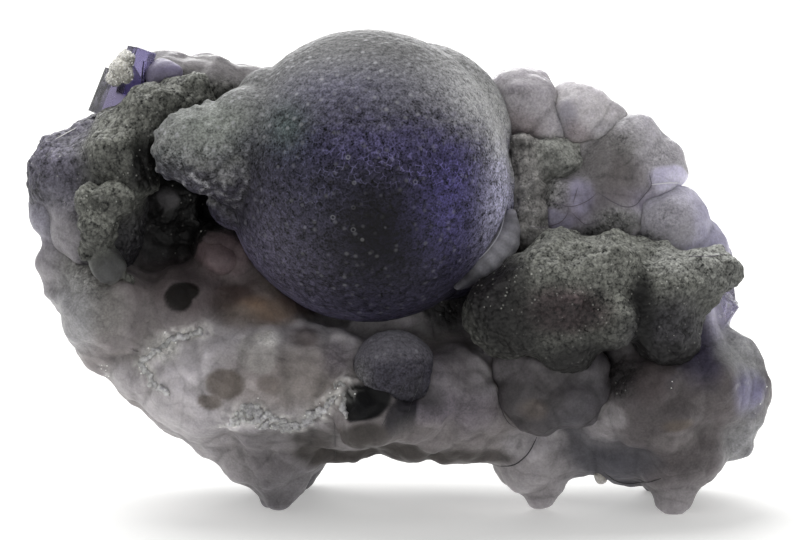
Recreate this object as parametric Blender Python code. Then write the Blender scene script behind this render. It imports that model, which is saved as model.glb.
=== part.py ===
"""A fluorite specimen: one big violet ball and smaller fluorite bodies on a botryoidal matrix.

Run it with blender --background --python part.py, or from Blender's text editor. Units are metres.
+X runs to the right of the display face, +Y to the back and +Z up. The origin is on the surface
that the specimen stands on, under the middle of its outline.

Every body that grew as rounded masses is written as a list of lumps. A lump is a ball of crystal,
given in millimetres as (x, y, z, radius). The balls of one body are welded by a voxel remesh,
roughened by a cloud displacement and thinned to flat facets. The lumps are measured from a point
under the big ball's neck, and REST moves the finished bodies so that the outline is centred.
"""

import math
import random

import bmesh
import bpy
from mathutils import Euler, Matrix, Vector

MM = 0.001

# Driving dimensions, in millimetres
BALL_RADII = (14.0, 14.0, 14.6)
BALL_CENTRE = (-3.4, -3.0, 33.6)
SMALL_BALL_RADIUS = 4.4
SMALL_BALL_CENTRE = (-0.8, -7.8, 14.7)
CONTACT_GAP = 0.35
REST = (0.3, -2.5, 0.0)

# How finely the masses are welded and faceted
VOXEL = 0.5
MATRIX_KEEP = 0.043
BALL_KEEP = 0.052
SMALL_BALL_KEEP = 0.09
SPHERE_CUTS = 3

# Lumps of the big ball's own growth: its right shoulder, the collar at its lower right,
# its upper lip, and the lobe that hangs on its left
BALL_LUMPS = [
    (1.5, 0.5, 37.0, 9.4),
    (1.4, 1.5, 30.6, 10.8),
    (-12.6, -4.0, 40.6, 4.0),
    (-15.0, -6.2, 38.2, 5.2),
    (-18.2, -6.8, 37.6, 4.9),
    (-20.8, -7.2, 37.0, 4.3),
    (-22.8, -8.0, 35.8, 2.7),
    (-19.6, -8.4, 34.8, 3.0),
    (-16.2, -8.0, 34.4, 3.4),
    (-16.4, -5.0, 31.0, 3.0),
]

# The matrix, from its hidden core outwards
CORE_LUMPS = [
    (-20.0, 10.0, 27.0, 9.0),
    (-4.0, 10.5, 28.0, 10.5),
    (13.0, 8.0, 27.0, 9.0),
    (22.0, 8.0, 24.0, 8.5),
    (-22.0, 8.0, 17.0, 8.0),
    (-8.0, 7.0, 15.0, 9.2),
    (8.0, 6.0, 15.5, 9.0),
    (22.0, 6.0, 14.0, 8.5),
    (-26.0, 5.0, 33.0, 6.0),
    (-21.0, 5.0, 35.0, 5.5),
    (14.0, 6.0, 34.0, 5.5),
    (0.0, 4.0, 20.0, 8.0),
    (14.0, 0.0, 20.0, 7.0),
    (25.0, 1.0, 17.0, 7.5),
    (-12.5, 3.0, 11.0, 7.5),
    (-16.0, 7.0, 8.5, 5.0),
    (-16.0, 8.0, 36.0, 6.0),
    (-25.0, 6.0, 27.5, 6.5),
    (-27.0, 4.5, 22.0, 6.5),
    (27.5, 6.0, 11.5, 6.5),
    (29.0, 6.5, 19.0, 5.0),
    (-12.3, 2.0, 7.6, 6.2),
    (-12.2, 8.5, 7.6, 6.2),
    (12.8, 2.0, 9.6, 5.6),
    (26.4, 2.0, 8.0, 5.8),
    (26.6, 7.5, 8.0, 6.0),
]
BACK_LUMPS = [
    (-26.5, 12.5, 30.0, 5.0),
    (-13.0, 15.5, 31.0, 5.0),
    (-17.0, 15.0, 22.5, 5.5),
    (-6.0, 16.5, 24.0, 5.5),
    (4.0, 16.0, 30.0, 5.0),
    (6.0, 14.5, 21.5, 5.5),
    (16.0, 13.5, 29.5, 5.5),
    (15.0, 13.0, 19.5, 5.0),
    (25.5, 12.5, 24.0, 5.0),
    (23.0, 12.0, 15.5, 5.5),
    (-27.0, 11.0, 20.5, 5.0),
    (-18.5, 12.5, 12.5, 5.0),
    (-8.0, 13.0, 14.5, 5.5),
    (2.0, 12.0, 13.0, 5.5),
    (12.5, 11.0, 12.5, 5.0),
    (-12.5, 11.0, 8.0, 5.0),
    (26.5, 10.0, 8.5, 5.0),
    (-4.0, 12.5, 36.5, 4.0),
    (9.0, 11.0, 34.0, 4.5),
]
LEFT_LUMPS = [
    (-22.8, 4.0, 41.2, 3.8),
    (-18.8, 5.0, 40.3, 4.4),
    (-27.8, -2.0, 37.4, 3.2),
    (-24.5, -2.0, 39.2, 3.4),
    (-21.5, 0.0, 40.0, 3.2),
    (-29.0, 3.0, 33.4, 5.8),
    (-28.0, -4.0, 35.8, 3.2),
    (-32.5, 1.0, 32.9, 4.8),
    (-33.8, 1.0, 29.2, 3.4),
    (-33.4, 0.0, 24.8, 3.0),
    (-31.5, 0.0, 21.3, 3.3),
    (-28.8, -2.0, 20.2, 5.4),
    (-27.6, -6.4, 31.4, 2.2),
    (-30.2, -6.0, 31.4, 2.0),
    (-29.8, -6.6, 28.8, 2.2),
    (-28.6, -6.0, 25.4, 2.2),
    (-30.0, -1.0, 28.5, 5.0),
    (-26.4, -3.0, 23.6, 1.2),
]
RECESS_LUMPS = [
    (-17.4, -1.0, 25.4, 3.2),
    (-22.4, 0.4, 30.8, 2.6),
    (-21.8, -3.0, 20.6, 4.2),
    (-14.0, -1.5, 20.0, 4.6),
]
BASE_LUMPS = [
    (-19.6, -3.4, 13.0, 5.9),
    (-16.4, -3.8, 13.8, 6.1),
    (-13.2, -4.2, 12.9, 6.6),
    (-10.2, -4.4, 13.3, 6.2),
    (-7.4, -4.4, 12.8, 6.0),
    (-25.0, -1.0, 14.9, 4.8),
    (-22.6, -2.2, 14.4, 5.3),
    (-21.3, -1.0, 11.4, 4.4),
    (-17.2, -2.0, 10.4, 5.0),
    (-4.4, -4.0, 11.4, 5.0),
    (2.2, -4.4, 11.0, 4.9),
    (-17.9, -1.0, 8.2, 4.2),
    (-15.0, -1.0, 6.2, 4.2),
    (-28.4, -1.0, 17.0, 3.9),
    (-5.0, -1.0, 8.9, 4.2),
    (0.5, -2.0, 9.4, 4.4),
    (5.5, -2.0, 9.4, 4.8),
    (9.0, -2.0, 8.3, 3.6),
    (5.0, -4.0, 12.3, 5.0),
    (9.0, -3.0, 11.2, 4.4),
    (-2.9, -9.0, 11.0, 3.4),
    (18.0, 0.0, 7.2, 4.2),
    (22.0, -1.0, 6.9, 4.5),
    (26.8, -1.0, 7.4, 6.0),
    (30.0, -2.0, 4.0, 2.2),
    (34.0, -1.0, 6.9, 1.9),
    (31.5, 0.0, 8.3, 4.5),
    (32.0, 0.0, 11.6, 5.0),
    (32.2, 1.0, 14.2, 3.8),
]
FRONT_LUMPS = [
    (12.4, -6.0, 12.0, 4.2),
    (17.0, -6.0, 12.2, 3.8),
    (20.5, -4.0, 10.3, 3.2),
    (25.0, -4.0, 11.8, 5.8),
    (30.0, -3.0, 12.7, 4.6),
]
CRUST_LUMPS = [
    (14.0, -8.0, 21.8, 5.5),
    (19.0, -7.0, 22.7, 5.0),
    (10.0, -8.0, 20.6, 4.2),
    (20.3, -10.5, 19.9, 2.5),
    (16.0, -5.0, 25.2, 3.4),
    (20.5, -4.0, 25.1, 3.2),
    (16.0, -9.0, 18.4, 3.4),
    (26.0, -6.0, 21.5, 4.3),
    (30.0, -4.6, 22.8, 3.4),
    (32.4, -3.4, 23.8, 2.2),
    (25.0, -7.0, 18.7, 3.0),
    (28.5, -6.0, 18.0, 2.6),
    (24.0, -3.0, 24.2, 3.0),
    (14.4, -1.0, 34.0, 3.6),
    (13.0, 0.0, 31.4, 3.2),
]
RIGHT_LUMPS = [
    (12.5, 4.0, 39.2, 4.0),
    (17.8, 3.0, 38.5, 3.9),
    (20.2, 3.0, 37.1, 3.7),
    (23.0, 3.0, 35.3, 4.4),
    (24.6, 3.0, 33.7, 4.5),
    (26.2, 2.0, 28.2, 4.9),
    (29.0, 3.0, 24.2, 4.2),
    (20.0, 2.0, 29.4, 5.2),
    (16.0, 0.0, 29.3, 4.0),
]
FOOT_LUMPS = [
    (-12.2, -0.5, 5.1, 5.8),
    (-12.0, 11.0, 4.0, 5.0),
    (12.4, -0.5, 4.9, 4.4),
    (13.4, -0.5, 1.9, 2.4),
    (27.2, -3.0, 2.2, 2.9),
    (26.5, 10.0, 4.0, 5.0),
]

# Small knobs on the lumps, as (knobs on each lump, least radius, most radius, rise, seed)
CRUST_KNOBS = (8, 1.0, 1.7, 0.5, 4)
BACK_KNOBS = (7, 1.6, 2.8, 0.9, 9)

# Flat breaks in the crust, each as (centre, size, turn in degrees) of the block that is gone
BREAKS = [
    ((18.0, -7.4, 30.0), (13.0, 7.0, 7.0), (-38.0, 8.0, 8.0)),
    ((27.0, -5.2, 32.2), (6.0, 5.6, 5.6), (-42.0, -6.0, 22.0)),
]
# Round pits, as (x, y, z, radius)
PITS = [
    (-2.9, -13.2, 11.0, 2.4),
    (-21.7, -7.4, 21.6, 1.7),
]

# The two blocky crystals at the rim, each of blocks that grew through each other, written as breaks
CORNER_BLOCKS = [
    ((-28.0, 1.4, 40.6), (3.9, 4.4, 5.6), (0.0, 14.0, 24.0)),
    ((-26.3, 2.0, 42.5), (2.9, 3.4, 6.4), (4.0, 6.0, 38.0)),
    ((-27.5, 1.8, 42.8), (4.2, 3.6, 3.4), (0.0, -41.0, 12.0)),
]
EDGE_BLOCKS = [
    ((30.4, 1.6, 23.0), (4.6, 5.4, 7.0), (0.0, -8.0, 22.0)),
    ((31.0, 0.6, 20.0), (4.2, 4.6, 4.2), (8.0, 34.0, 8.0)),
]
CRYSTAL_BEVEL = 0.35


def clear_scene():
    """Removes the objects that the scene starts with."""
    for thing in list(bpy.data.objects):
        bpy.data.objects.remove(thing, do_unlink=True)


def stone_material(name, colour, roughness):
    """A Principled material with one colour, for a mineral with no metal in it."""
    material = bpy.data.materials.new(name)
    material.use_nodes = True
    shader = material.node_tree.nodes["Principled BSDF"]
    shader.inputs["Base Color"].default_value = (*colour, 1.0)
    shader.inputs["Roughness"].default_value = roughness
    shader.inputs["Metallic"].default_value = 0.0
    return material


def object_from(shape, name, material=None):
    """An object in the scene, at REST, with the mesh that a bmesh holds."""
    mesh = bpy.data.meshes.new(name)
    shape.to_mesh(mesh)
    shape.free()
    if material:
        mesh.materials.append(material)
    thing = bpy.data.objects.new(name, mesh)
    thing.location = Vector(REST) * MM
    bpy.context.scene.collection.objects.link(thing)
    return thing


def ball_cluster(name, balls, material=None):
    """An object of overlapping balls, each written as (centre, radii)."""
    shape = bmesh.new()
    for centre, radii in balls:
        size = Matrix.Diagonal((*(Vector(radii) * MM), 1.0))
        place = Matrix.Translation(Vector(centre) * MM) @ size
        bmesh.ops.create_icosphere(shape, subdivisions=SPHERE_CUTS, radius=1.0, matrix=place)
    return object_from(shape, name, material)


def block(name, centre, size, turn, material=None):
    """A block of three edge lengths, turned by three angles in degrees about its centre."""
    shape = bmesh.new()
    turned = Euler([math.radians(angle) for angle in turn]).to_matrix().to_4x4()
    sized = Matrix.Diagonal((*(Vector(size) * MM), 1.0))
    place = Matrix.Translation(Vector(centre) * MM) @ turned @ sized
    bmesh.ops.create_cube(shape, size=1.0, matrix=place)
    return object_from(shape, name, material)


def as_balls(lumps):
    """Lumps as the (centre, radii) pairs of ball_cluster."""
    return [((x, y, z), (r, r, r)) for x, y, z, r in lumps]


def knobs_on(lumps, count, least, most, rise, seed):
    """Small lumps scattered over bigger ones, each standing out of its lump by the same rise."""
    draw = random.Random(seed)
    knobs = []
    for x, y, z, r in lumps:
        for _ in range(count):
            way = Vector((draw.gauss(0.0, 1.0), draw.gauss(0.0, 1.0), draw.gauss(0.0, 1.0))).normalized()
            size = min(draw.uniform(least, most), 0.8 * r)
            centre = Vector((x, y, z)) + way * (r - size + rise)
            knobs.append((*centre, size))
    return knobs


def weld_and_facet(thing, keep, width, height):
    """Welds the balls into one skin, roughens it with bumps of a width and height, and thins it."""
    weld = thing.modifiers.new("weld", "REMESH")
    weld.mode = "VOXEL"
    weld.voxel_size = VOXEL * MM
    cloud = bpy.data.textures.new(f"{thing.name}_bumps", "CLOUDS")
    cloud.noise_scale = width * MM
    rough = thing.modifiers.new("bumps", "DISPLACE")
    rough.texture = cloud
    rough.texture_coords = "LOCAL"
    rough.strength = height * MM
    rough.mid_level = 0.5
    thin = thing.modifiers.new("facets", "DECIMATE")
    thin.ratio = keep


def combine(thing, other, operation):
    """Adds other to thing, or cuts it away, and keeps other itself out of the part."""
    boolean = thing.modifiers.new(other.name, "BOOLEAN")
    boolean.operation = operation
    boolean.object = other
    other.hide_render = True
    other.display_type = "WIRE"


def seat_of(thing):
    """A copy of a body, grown by the contact gap on all sides: the seat its neighbour leaves for it."""
    seat = thing.copy()
    seat.name = f"{thing.name}_seat"
    bpy.context.scene.collection.objects.link(seat)
    grow = seat.modifiers.new("grow", "DISPLACE")
    grow.strength = CONTACT_GAP * MM
    grow.mid_level = 0.0
    return seat


def floor_block():
    """A block that fills the space under the floor, and cuts the feet off flat."""
    return block("floor", (0.0, 0.0, -10.0), (200.0, 200.0, 20.0), (0.0, 0.0, 0.0))


def big_ball(material):
    """The big ball with its shoulder, collar and side lobe, in one solid."""
    thing = ball_cluster("main_ball", [(BALL_CENTRE, BALL_RADII), *as_balls(BALL_LUMPS)], material)
    weld_and_facet(thing, BALL_KEEP, 6.0, 0.5)
    return thing


def little_ball(material):
    """The small ball in the hollow under the big one."""
    radii = (SMALL_BALL_RADIUS, SMALL_BALL_RADIUS, SMALL_BALL_RADIUS)
    thing = ball_cluster("small_ball", [(SMALL_BALL_CENTRE, radii)], material)
    weld_and_facet(thing, SMALL_BALL_KEEP, 3.0, 0.3)
    return thing


def blocky_crystal(name, blocks, material):
    """Blocks grown through each other, joined in one solid with its edges taken off."""
    thing = block(name, *blocks[0], material)
    for number, twin in enumerate(blocks[1:]):
        combine(thing, block(f"{name}_twin_{number}", *twin), "UNION")
    edges = thing.modifiers.new("edges", "BEVEL")
    edges.width = CRYSTAL_BEVEL * MM
    edges.segments = 1
    edges.limit_method = "ANGLE"
    return thing


def matrix_rock(material, balls):
    """The matrix in one solid, with a seat for each other body, its breaks, its pits and flat feet."""
    smooth = [*CORE_LUMPS, *BACK_LUMPS, *RECESS_LUMPS, *BASE_LUMPS, *FRONT_LUMPS, *FOOT_LUMPS]
    rough = [*LEFT_LUMPS, *CRUST_LUMPS, *RIGHT_LUMPS]
    knobs = [*knobs_on([*LEFT_LUMPS, *CRUST_LUMPS], *CRUST_KNOBS), *knobs_on(BACK_LUMPS, *BACK_KNOBS)]
    thing = ball_cluster("matrix", as_balls([*smooth, *rough, *knobs]), material)
    weld_and_facet(thing, MATRIX_KEEP, 5.0, 0.8)
    seats = [(centre, [edge + 2 * CONTACT_GAP for edge in size], turn)
             for centre, size, turn in [*CORNER_BLOCKS, *EDGE_BLOCKS]]
    for number, (centre, size, turn) in enumerate([*BREAKS, *seats]):
        combine(thing, block(f"gone_{number}", centre, size, turn), "DIFFERENCE")
    combine(thing, ball_cluster("pits", as_balls(PITS)), "DIFFERENCE")
    for ball in balls:
        combine(thing, seat_of(ball), "DIFFERENCE")
    combine(thing, floor_block(), "DIFFERENCE")
    return thing


def main():
    """Builds the specimen."""
    clear_scene()
    violet = stone_material("violet_fluorite", (0.07, 0.05, 0.12), 0.45)
    glassy = stone_material("glassy_fluorite", (0.20, 0.16, 0.34), 0.15)
    grey = stone_material("grey_matrix", (0.22, 0.20, 0.22), 0.5)
    blocky_crystal("corner_crystal", CORNER_BLOCKS, glassy)
    blocky_crystal("edge_crystal", EDGE_BLOCKS, glassy)
    matrix_rock(grey, [big_ball(violet), little_ball(violet)])


main()
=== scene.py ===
"""Dresses the fluorite specimen: a big violet ball and smaller fluorite bodies on a botryoidal matrix.

Every body grew as rounded lumps, so each one is modelled the same way. Balls are joined and welded
into one closed skin, the skin is painted with the tones of its lumps and with patches,
and rounded grains then rise from it. Lumps and patches are in millimetres from a point under the
ball's neck, as in the part's source, and REST moves the finished pieces to the part's own frame.
A patch is placed as it is seen from the front: across and up, on whatever surface lies there.
"""

from __future__ import annotations

import logging
import math
import random
from dataclasses import dataclass, field
from enum import Enum

import bpy
import numpy as np
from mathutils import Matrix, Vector, noise
from mathutils.bvhtree import BVHTree


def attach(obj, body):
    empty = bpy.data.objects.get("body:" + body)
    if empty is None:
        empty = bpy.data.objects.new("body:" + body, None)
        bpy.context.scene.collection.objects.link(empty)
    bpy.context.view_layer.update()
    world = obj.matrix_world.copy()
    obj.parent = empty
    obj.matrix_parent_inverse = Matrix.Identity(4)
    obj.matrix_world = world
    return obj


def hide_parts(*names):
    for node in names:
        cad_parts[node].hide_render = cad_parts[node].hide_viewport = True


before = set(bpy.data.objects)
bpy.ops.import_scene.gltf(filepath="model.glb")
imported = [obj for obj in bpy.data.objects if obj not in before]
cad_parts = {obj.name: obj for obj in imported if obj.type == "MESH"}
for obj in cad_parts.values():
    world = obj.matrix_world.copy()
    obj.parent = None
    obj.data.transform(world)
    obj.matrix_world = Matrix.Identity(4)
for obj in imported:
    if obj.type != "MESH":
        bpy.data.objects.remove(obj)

MM = 0.001
REST = (0.3, -2.5, 0.0)
BODY = "root"
FRONT_SLOPE = 0.122
LIGHT_LEVEL = 0.82
CUT_DEPTH = 4.5
CUT_TOLERANCE = 0.01
CUT_FACING = 0.999
ROOM = 60.0
FLUORITE_INDEX = 1.434
SPECKLE_WIDTH = 0.2
DOME_STEEPNESS = 1.35
FALL_OFF = 1.7
FAR_OFF = 1e9
FULL_TURN = 6.283
THREAD_STEP = 1.2
PATCH_DEPTH = 1.3
SINK_EDGE = (0.7, 1.15)

log = logging.getLogger("specimen")


class Slot(Enum):
    """The record's material slots."""

    VIOLET = "violet_fluorite"
    GLASSY = "glassy_fluorite"
    GREY = "grey_matrix"


class Tone(Enum):
    """A finish of one lump or patch: its colour on screen, 0 to 255, and how granular it is, 0 to 1."""

    OLIVE = (114, 115, 109, 1.0)
    OLIVE_PALE = (115, 116, 110, 1.0)
    OLIVE_DARK = (68, 66, 72, 1.0)
    # Painted shade: near black where the cavity and deep gaps lie in shadow.
    CAVITY_SHADE = (14, 13, 13, 0.9)
    # Painted shade in crevices and at the feet of the crusts.
    CREVICE_SHADE = (34, 32, 33, 0.8)
    VIOLET_CRUST = (103, 100, 113, 0.7)
    REDDISH = (76, 66, 67, 0.8)
    GREY_LILAC = (124, 121, 124, 0.12)
    LILAC = (150, 147, 156, 0.0)
    PALE_LILAC = (166, 162, 165, 0.0)
    SLOPE = (158, 154, 156, 0.0)
    GAP_GREY = (150, 146, 149, 0.0)
    CELL_LIGHT = (164, 159, 178, 0.0)
    PINKISH = (122, 117, 117, 0.0)
    DUSKY = (84, 76, 77, 0.0)
    BROWN = (92, 84, 79, 0.0)
    ORANGE = (100, 82, 68, 0.0)
    DARK_GLASS = (66, 64, 66, 0.0)
    BLUISH = (78, 77, 83, 0.0)
    # A smoky grey: the tint of some lumps, and painted shadow under the shelf's ridge.
    SMOKY_AND_SHADE = (86, 81, 82, 0.15)
    PALE_FOOT = (150, 146, 148, 0.0)
    LAVENDER = (122, 119, 146, 0.0)
    DEEP_VIOLET = (58, 54, 72, 0.3)
    PALE_EDGE = (144, 144, 146, 0.3)
    # Painted light: pale windows, as if lit through from behind.
    WINDOW = (198, 194, 214, 0.0)
    WHITE_CRUST = (205, 203, 200, 0.6)
    HAZE = (168, 165, 170, 0.35)
    BACK = (104, 102, 106, 0.45)
    DUSKY_PINK = (88, 76, 78, 0.0)
    DEEP_BROWN = (58, 47, 44, 0.0)
    BLOB = (76, 72, 73, 0.2)
    SHELF_BROWN = (120, 110, 103, 0.1)
    # Painted shade in the small sunk pit.
    PIT_SHADE = (18, 14, 12, 0.0)
    # Painted shade in the shallow sunk disc.
    DISC = (23, 23, 24, 0.0)
    FOLD = (42, 40, 45, 0.2)
    OLIVE_BRIGHT = (144, 145, 140, 1.0)
    PINK_GRAIN = (138, 130, 132, 0.35)
    HAZE_GRAIN = (130, 128, 127, 0.45)
    RIDGE = (172, 171, 173, 0.3)
    PALE_BUD = (176, 172, 166, 0.3)
    DARK_BALL = (62, 62, 62, 0.0)
    DEEP_BLUE = (72, 71, 77, 0.1)
    FIRST_LUMP = (161, 157, 161, 0.25)
    SECOND_LUMP = (185, 181, 184, 0.15)
    LAVENDER_LUMP = (182, 179, 193, 0.2)
    BUD = (122, 117, 136, 0.0)
    COLLAR = (118, 117, 122, 0.0)
    COLLAR_LIGHT = (150, 149, 155, 0.0)
    # Painted shadow in the gap at the collar's lower end.
    COLLAR_SHADE = (62, 61, 66, 0.0)
    # Painted shade on the undersides near the floor.
    UNDERSIDE_SHADE = (66, 62, 60, 0.0)
    FOOT_TOP = (96, 93, 94, 0.0)
    WARM_GREY = (130, 124, 121, 0.0)
    PALE_SQUARE = (152, 149, 147, 0.1)
    SPOT_BROWN = (94, 86, 79, 0.0)
    CELL = (130, 124, 137, 0.0)
    CELL_WINDOW = (134, 130, 148, 0.0)
    SHADED_GREY = (112, 108, 111, 0.0)
    LEFT_GLASSY = (119, 117, 126, 0.4)
    STRIP = (136, 134, 132, 0.9)
    FOLD_LINE = (42, 41, 44, 0.0)
    # A painted glint along the ball's right edge.
    BALL_EDGE_GLINT = (122, 122, 126, 0.0)
    DUSKY_VIOLET = (98, 92, 100, 0.5)
    HUMP = (123, 120, 121, 0.2)
    SPARK = (135, 135, 131, 0.0)
    RIDGE_SPARK = (225, 224, 222, 0.0)
    GLINT = (205, 204, 208, 0.0)
    BREAK = (210, 208, 200, 0.6)
    RIM_LIGHT = (164, 164, 172, 0.0)
    SEAM = (84, 78, 88, 0.0)
    CRACK = (44, 42, 44, 0.0)


Ball = tuple[float, float, float, float]
Place = tuple[float, float, float]
Colour = tuple[float, float, float]
Span = tuple[float, float]


def linear(screen: tuple[float, ...]) -> Colour:
    """Turns a colour on screen, 0 to 255, into the light that the surface gives back."""
    values = [level / 255 for level in screen[:3]]
    return tuple(v / 12.92 if v <= 0.04045 else ((v + 0.055) / 1.055) ** 2.4 for v in values)


def stone(screen: tuple[float, ...]) -> Colour:
    """The base colour that shows as a screen colour under the studio's light."""
    return tuple(min(level / LIGHT_LEVEL, 1.0) for level in linear(screen))


class Number:
    """A number that runs between nodes. Python's operators add the Math nodes."""

    def __init__(self, board: Board, socket: bpy.types.NodeSocket) -> None:
        """Wraps an output socket of a board."""
        self.board = board
        self.socket = socket

    def __add__(self, other: object) -> Number:
        """This number plus another."""
        return self.board.maths("ADD", self, other)

    __radd__ = __add__

    def __sub__(self, other: object) -> Number:
        """This number less another."""
        return self.board.maths("SUBTRACT", self, other)

    def __rsub__(self, other: object) -> Number:
        """Another number less this one."""
        return self.board.maths("SUBTRACT", other, self)

    def __mul__(self, other: object) -> Number:
        """This number times another."""
        return self.board.maths("MULTIPLY", self, other)

    __rmul__ = __mul__

    def __truediv__(self, other: object) -> Number:
        """This number over another."""
        return self.board.maths("DIVIDE", self, other)

    def __pow__(self, other: object) -> Number:
        """This number to a power."""
        return self.board.maths("POWER", self, other)


class Board:
    """A node tree, and the ways that nodes are added to it."""

    def __init__(self, tree: bpy.types.NodeTree) -> None:
        """Starts on a tree of shader or geometry nodes."""
        self.tree = tree

    def add(self, kind: str, settings: dict | None = None, sockets: dict | None = None) -> bpy.types.Node:
        """Adds one node.

        Args:
            kind: The node's type.
            settings: The node's own settings, made first. "stops" sets a ramp's (place, colour) pairs.
            sockets: A value, Number or socket for each input, by its name or its number.

        Returns:
            The node.
        """
        node = self.tree.nodes.new(kind)
        for name, value in (settings or {}).items():
            if name == "stops":
                while len(node.color_ramp.elements) < len(value):
                    node.color_ramp.elements.new(1.0)
                for element, (place, colour) in zip(node.color_ramp.elements, value):
                    element.position = place
                    element.color = (*colour, 1.0)
            else:
                setattr(node, name, value)
        for key, value in (sockets or {}).items():
            if isinstance(key, int):
                socket = node.inputs[key]
            else:
                socket = next(s for s in node.inputs if s.name == key and s.enabled)
            if isinstance(value, Number):
                value = value.socket
            if isinstance(value, bpy.types.NodeSocket):
                self.tree.links.new(value, socket)
            elif socket.type == "RGBA" and len(value) == 3:
                socket.default_value = (*value, 1.0)
            else:
                socket.default_value = value
        return node

    def number(self, kind: str, settings: dict, sockets: dict, output: str | int = 0) -> Number:
        """Adds a node, and returns one of its outputs as a number."""
        return Number(self, self.add(kind, settings, sockets).outputs[output])

    def maths(self, operation: str, *values: object) -> Number:
        """Adds a Math node."""
        return self.number("ShaderNodeMath", {"operation": operation}, dict(enumerate(values)))

    def step(self, value: object, low: float, high: float) -> Number:
        """A smooth step from 0 at low to 1 at high."""
        settings = {"interpolation_type": "SMOOTHSTEP", "clamp": True}
        sockets = {"Value": value, "From Min": low, "From Max": high}
        return self.number("ShaderNodeMapRange", settings, sockets)

    def mix(self, amount: object, first: object, second: object, way: str = "MIX") -> bpy.types.NodeSocket:
        """A blend of two colours."""
        settings = {"data_type": "RGBA", "blend_type": way, "clamp_factor": True}
        return self.add("ShaderNodeMix", settings, {0: amount, 6: first, 7: second}).outputs[2]

    def lit(self, colour: object, light: Number) -> bpy.types.NodeSocket:
        """A colour times a light."""
        level = self.add("ShaderNodeCombineColor", {}, {0: light, 1: light, 2: light}).outputs[0]
        return self.mix(1.0, colour, level, "MULTIPLY")

    def noise(self, place: object, width: float, detail: float = 3.0) -> Number:
        """Cloudy noise of a width in millimetres."""
        sockets = {"Vector": place, "Scale": 1 / (width * MM), "Detail": detail}
        return self.number("ShaderNodeTexNoise", {"noise_dimensions": "3D"}, sockets, 0)

    def voronoi(self, place: object, width: float, feature: str = "F1") -> bpy.types.Node:
        """Cells of a width in millimetres."""
        settings = {"voronoi_dimensions": "3D", "feature": feature}
        return self.add("ShaderNodeTexVoronoi", settings, {"Vector": place, "Scale": 1 / (width * MM)})

    def cells(self, place: object, width: float, channel: int = 0) -> tuple[Number, Number]:
        """The distance from the middle of each cell, and a random number that each cell draws."""
        node = self.voronoi(place, width)
        chance = self.number("ShaderNodeSeparateColor", {}, {0: node.outputs["Color"]}, channel)
        return Number(self, node.outputs["Distance"]), chance

    def edges(self, place: object, width: float) -> Number:
        """The distance from the nearest border between cells."""
        return Number(self, self.voronoi(place, width, "DISTANCE_TO_EDGE").outputs["Distance"])

    def band(self, value: Number, rise: Span, fall: Span) -> Number:
        """Rises from 0 to 1 between two values, and falls back to 0 between two more."""
        return self.step(value, *rise) * (1 - self.step(value, *fall))

    def sparks(self, place: object, width: float, fade: Span, odds: Span) -> Number:
        """A dot in the cells that draw a high number."""
        distance, chance = self.cells(place, width, 1)
        return (1 - self.step(distance, *fade)) * self.step(chance, *odds)

    def dome(self, place: object, width: float) -> Number:
        """A rounded grain in each cell: 1 at its middle and 0 at its rim."""
        distance = Number(self, self.voronoi(place, width).outputs["Distance"])
        return self.maths("MAXIMUM", 1 - (distance * DOME_STEEPNESS) ** 2.0, 0.0)

    def kept(self, name: str) -> Number:
        """A number that is painted on the piece."""
        return self.number("ShaderNodeAttribute", attribute_called(name), {}, "Fac")

    def kept_colour(self, name: str) -> bpy.types.NodeSocket:
        """A colour that is painted on the piece."""
        return self.add("ShaderNodeAttribute", attribute_called(name)).outputs["Color"]

    def grown_place(self) -> bpy.types.NodeSocket:
        """Where each point lay before its grains rose."""
        return self.add("ShaderNodeAttribute", attribute_called("grown")).outputs["Vector"]

    def bump(self, height: object, strength: float, distance: float) -> bpy.types.NodeSocket:
        """The surface's direction, tilted by a height."""
        sockets = {"Strength": strength, "Distance": distance, "Height": height}
        return self.add("ShaderNodeBump", {}, sockets).outputs[0]

    def fluorite(self, sockets: dict) -> bpy.types.NodeSocket:
        """A shader with fluorite's index, and what else its sockets say."""
        return self.add("ShaderNodeBsdfPrincipled", {}, {"IOR": FLUORITE_INDEX, **sockets}).outputs[0]

    def named(self, name: str) -> Number:
        """A painted number, read by geometry nodes."""
        return self.number("GeometryNodeInputNamedAttribute", {"data_type": "FLOAT"}, {"Name": name})

    def moved(self, shape: object, way: object, amount: object) -> bpy.types.NodeSocket:
        """A shape with every point moved along a direction."""
        offset = self.add("ShaderNodeVectorMath", {"operation": "SCALE"}, {0: way, "Scale": amount})
        sockets = {"Geometry": shape, "Offset": offset.outputs[0]}
        return self.add("GeometryNodeSetPosition", {}, sockets).outputs[0]


def attribute_called(name: str) -> dict[str, str]:
    """The settings of a shader node that reads what is painted on a piece."""
    return {"attribute_type": "GEOMETRY", "attribute_name": name}


def new_geometry(name: str) -> tuple[bpy.types.NodeTree, Board, bpy.types.NodeSocket]:
    """An empty tree of geometry nodes, the board of its nodes, and the shape that comes in."""
    group = bpy.data.node_groups.new(name, "GeometryNodeTree")
    for way in ("INPUT", "OUTPUT"):
        group.interface.new_socket("Geometry", in_out=way, socket_type="NodeSocketGeometry")
    board = Board(group)
    return group, board, board.add("NodeGroupInput").outputs[0]


def new_material(name: str) -> tuple[bpy.types.Material, Board]:
    """An empty material and the board of its nodes."""
    material = bpy.data.materials.new(name)
    material.use_nodes = True
    material.node_tree.nodes.clear()
    return material, Board(material.node_tree)


def finish_material(board: Board, shader: bpy.types.NodeSocket) -> None:
    """Links a shader to the board's output."""
    board.add("ShaderNodeOutputMaterial", {}, {"Surface": shader})


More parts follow.
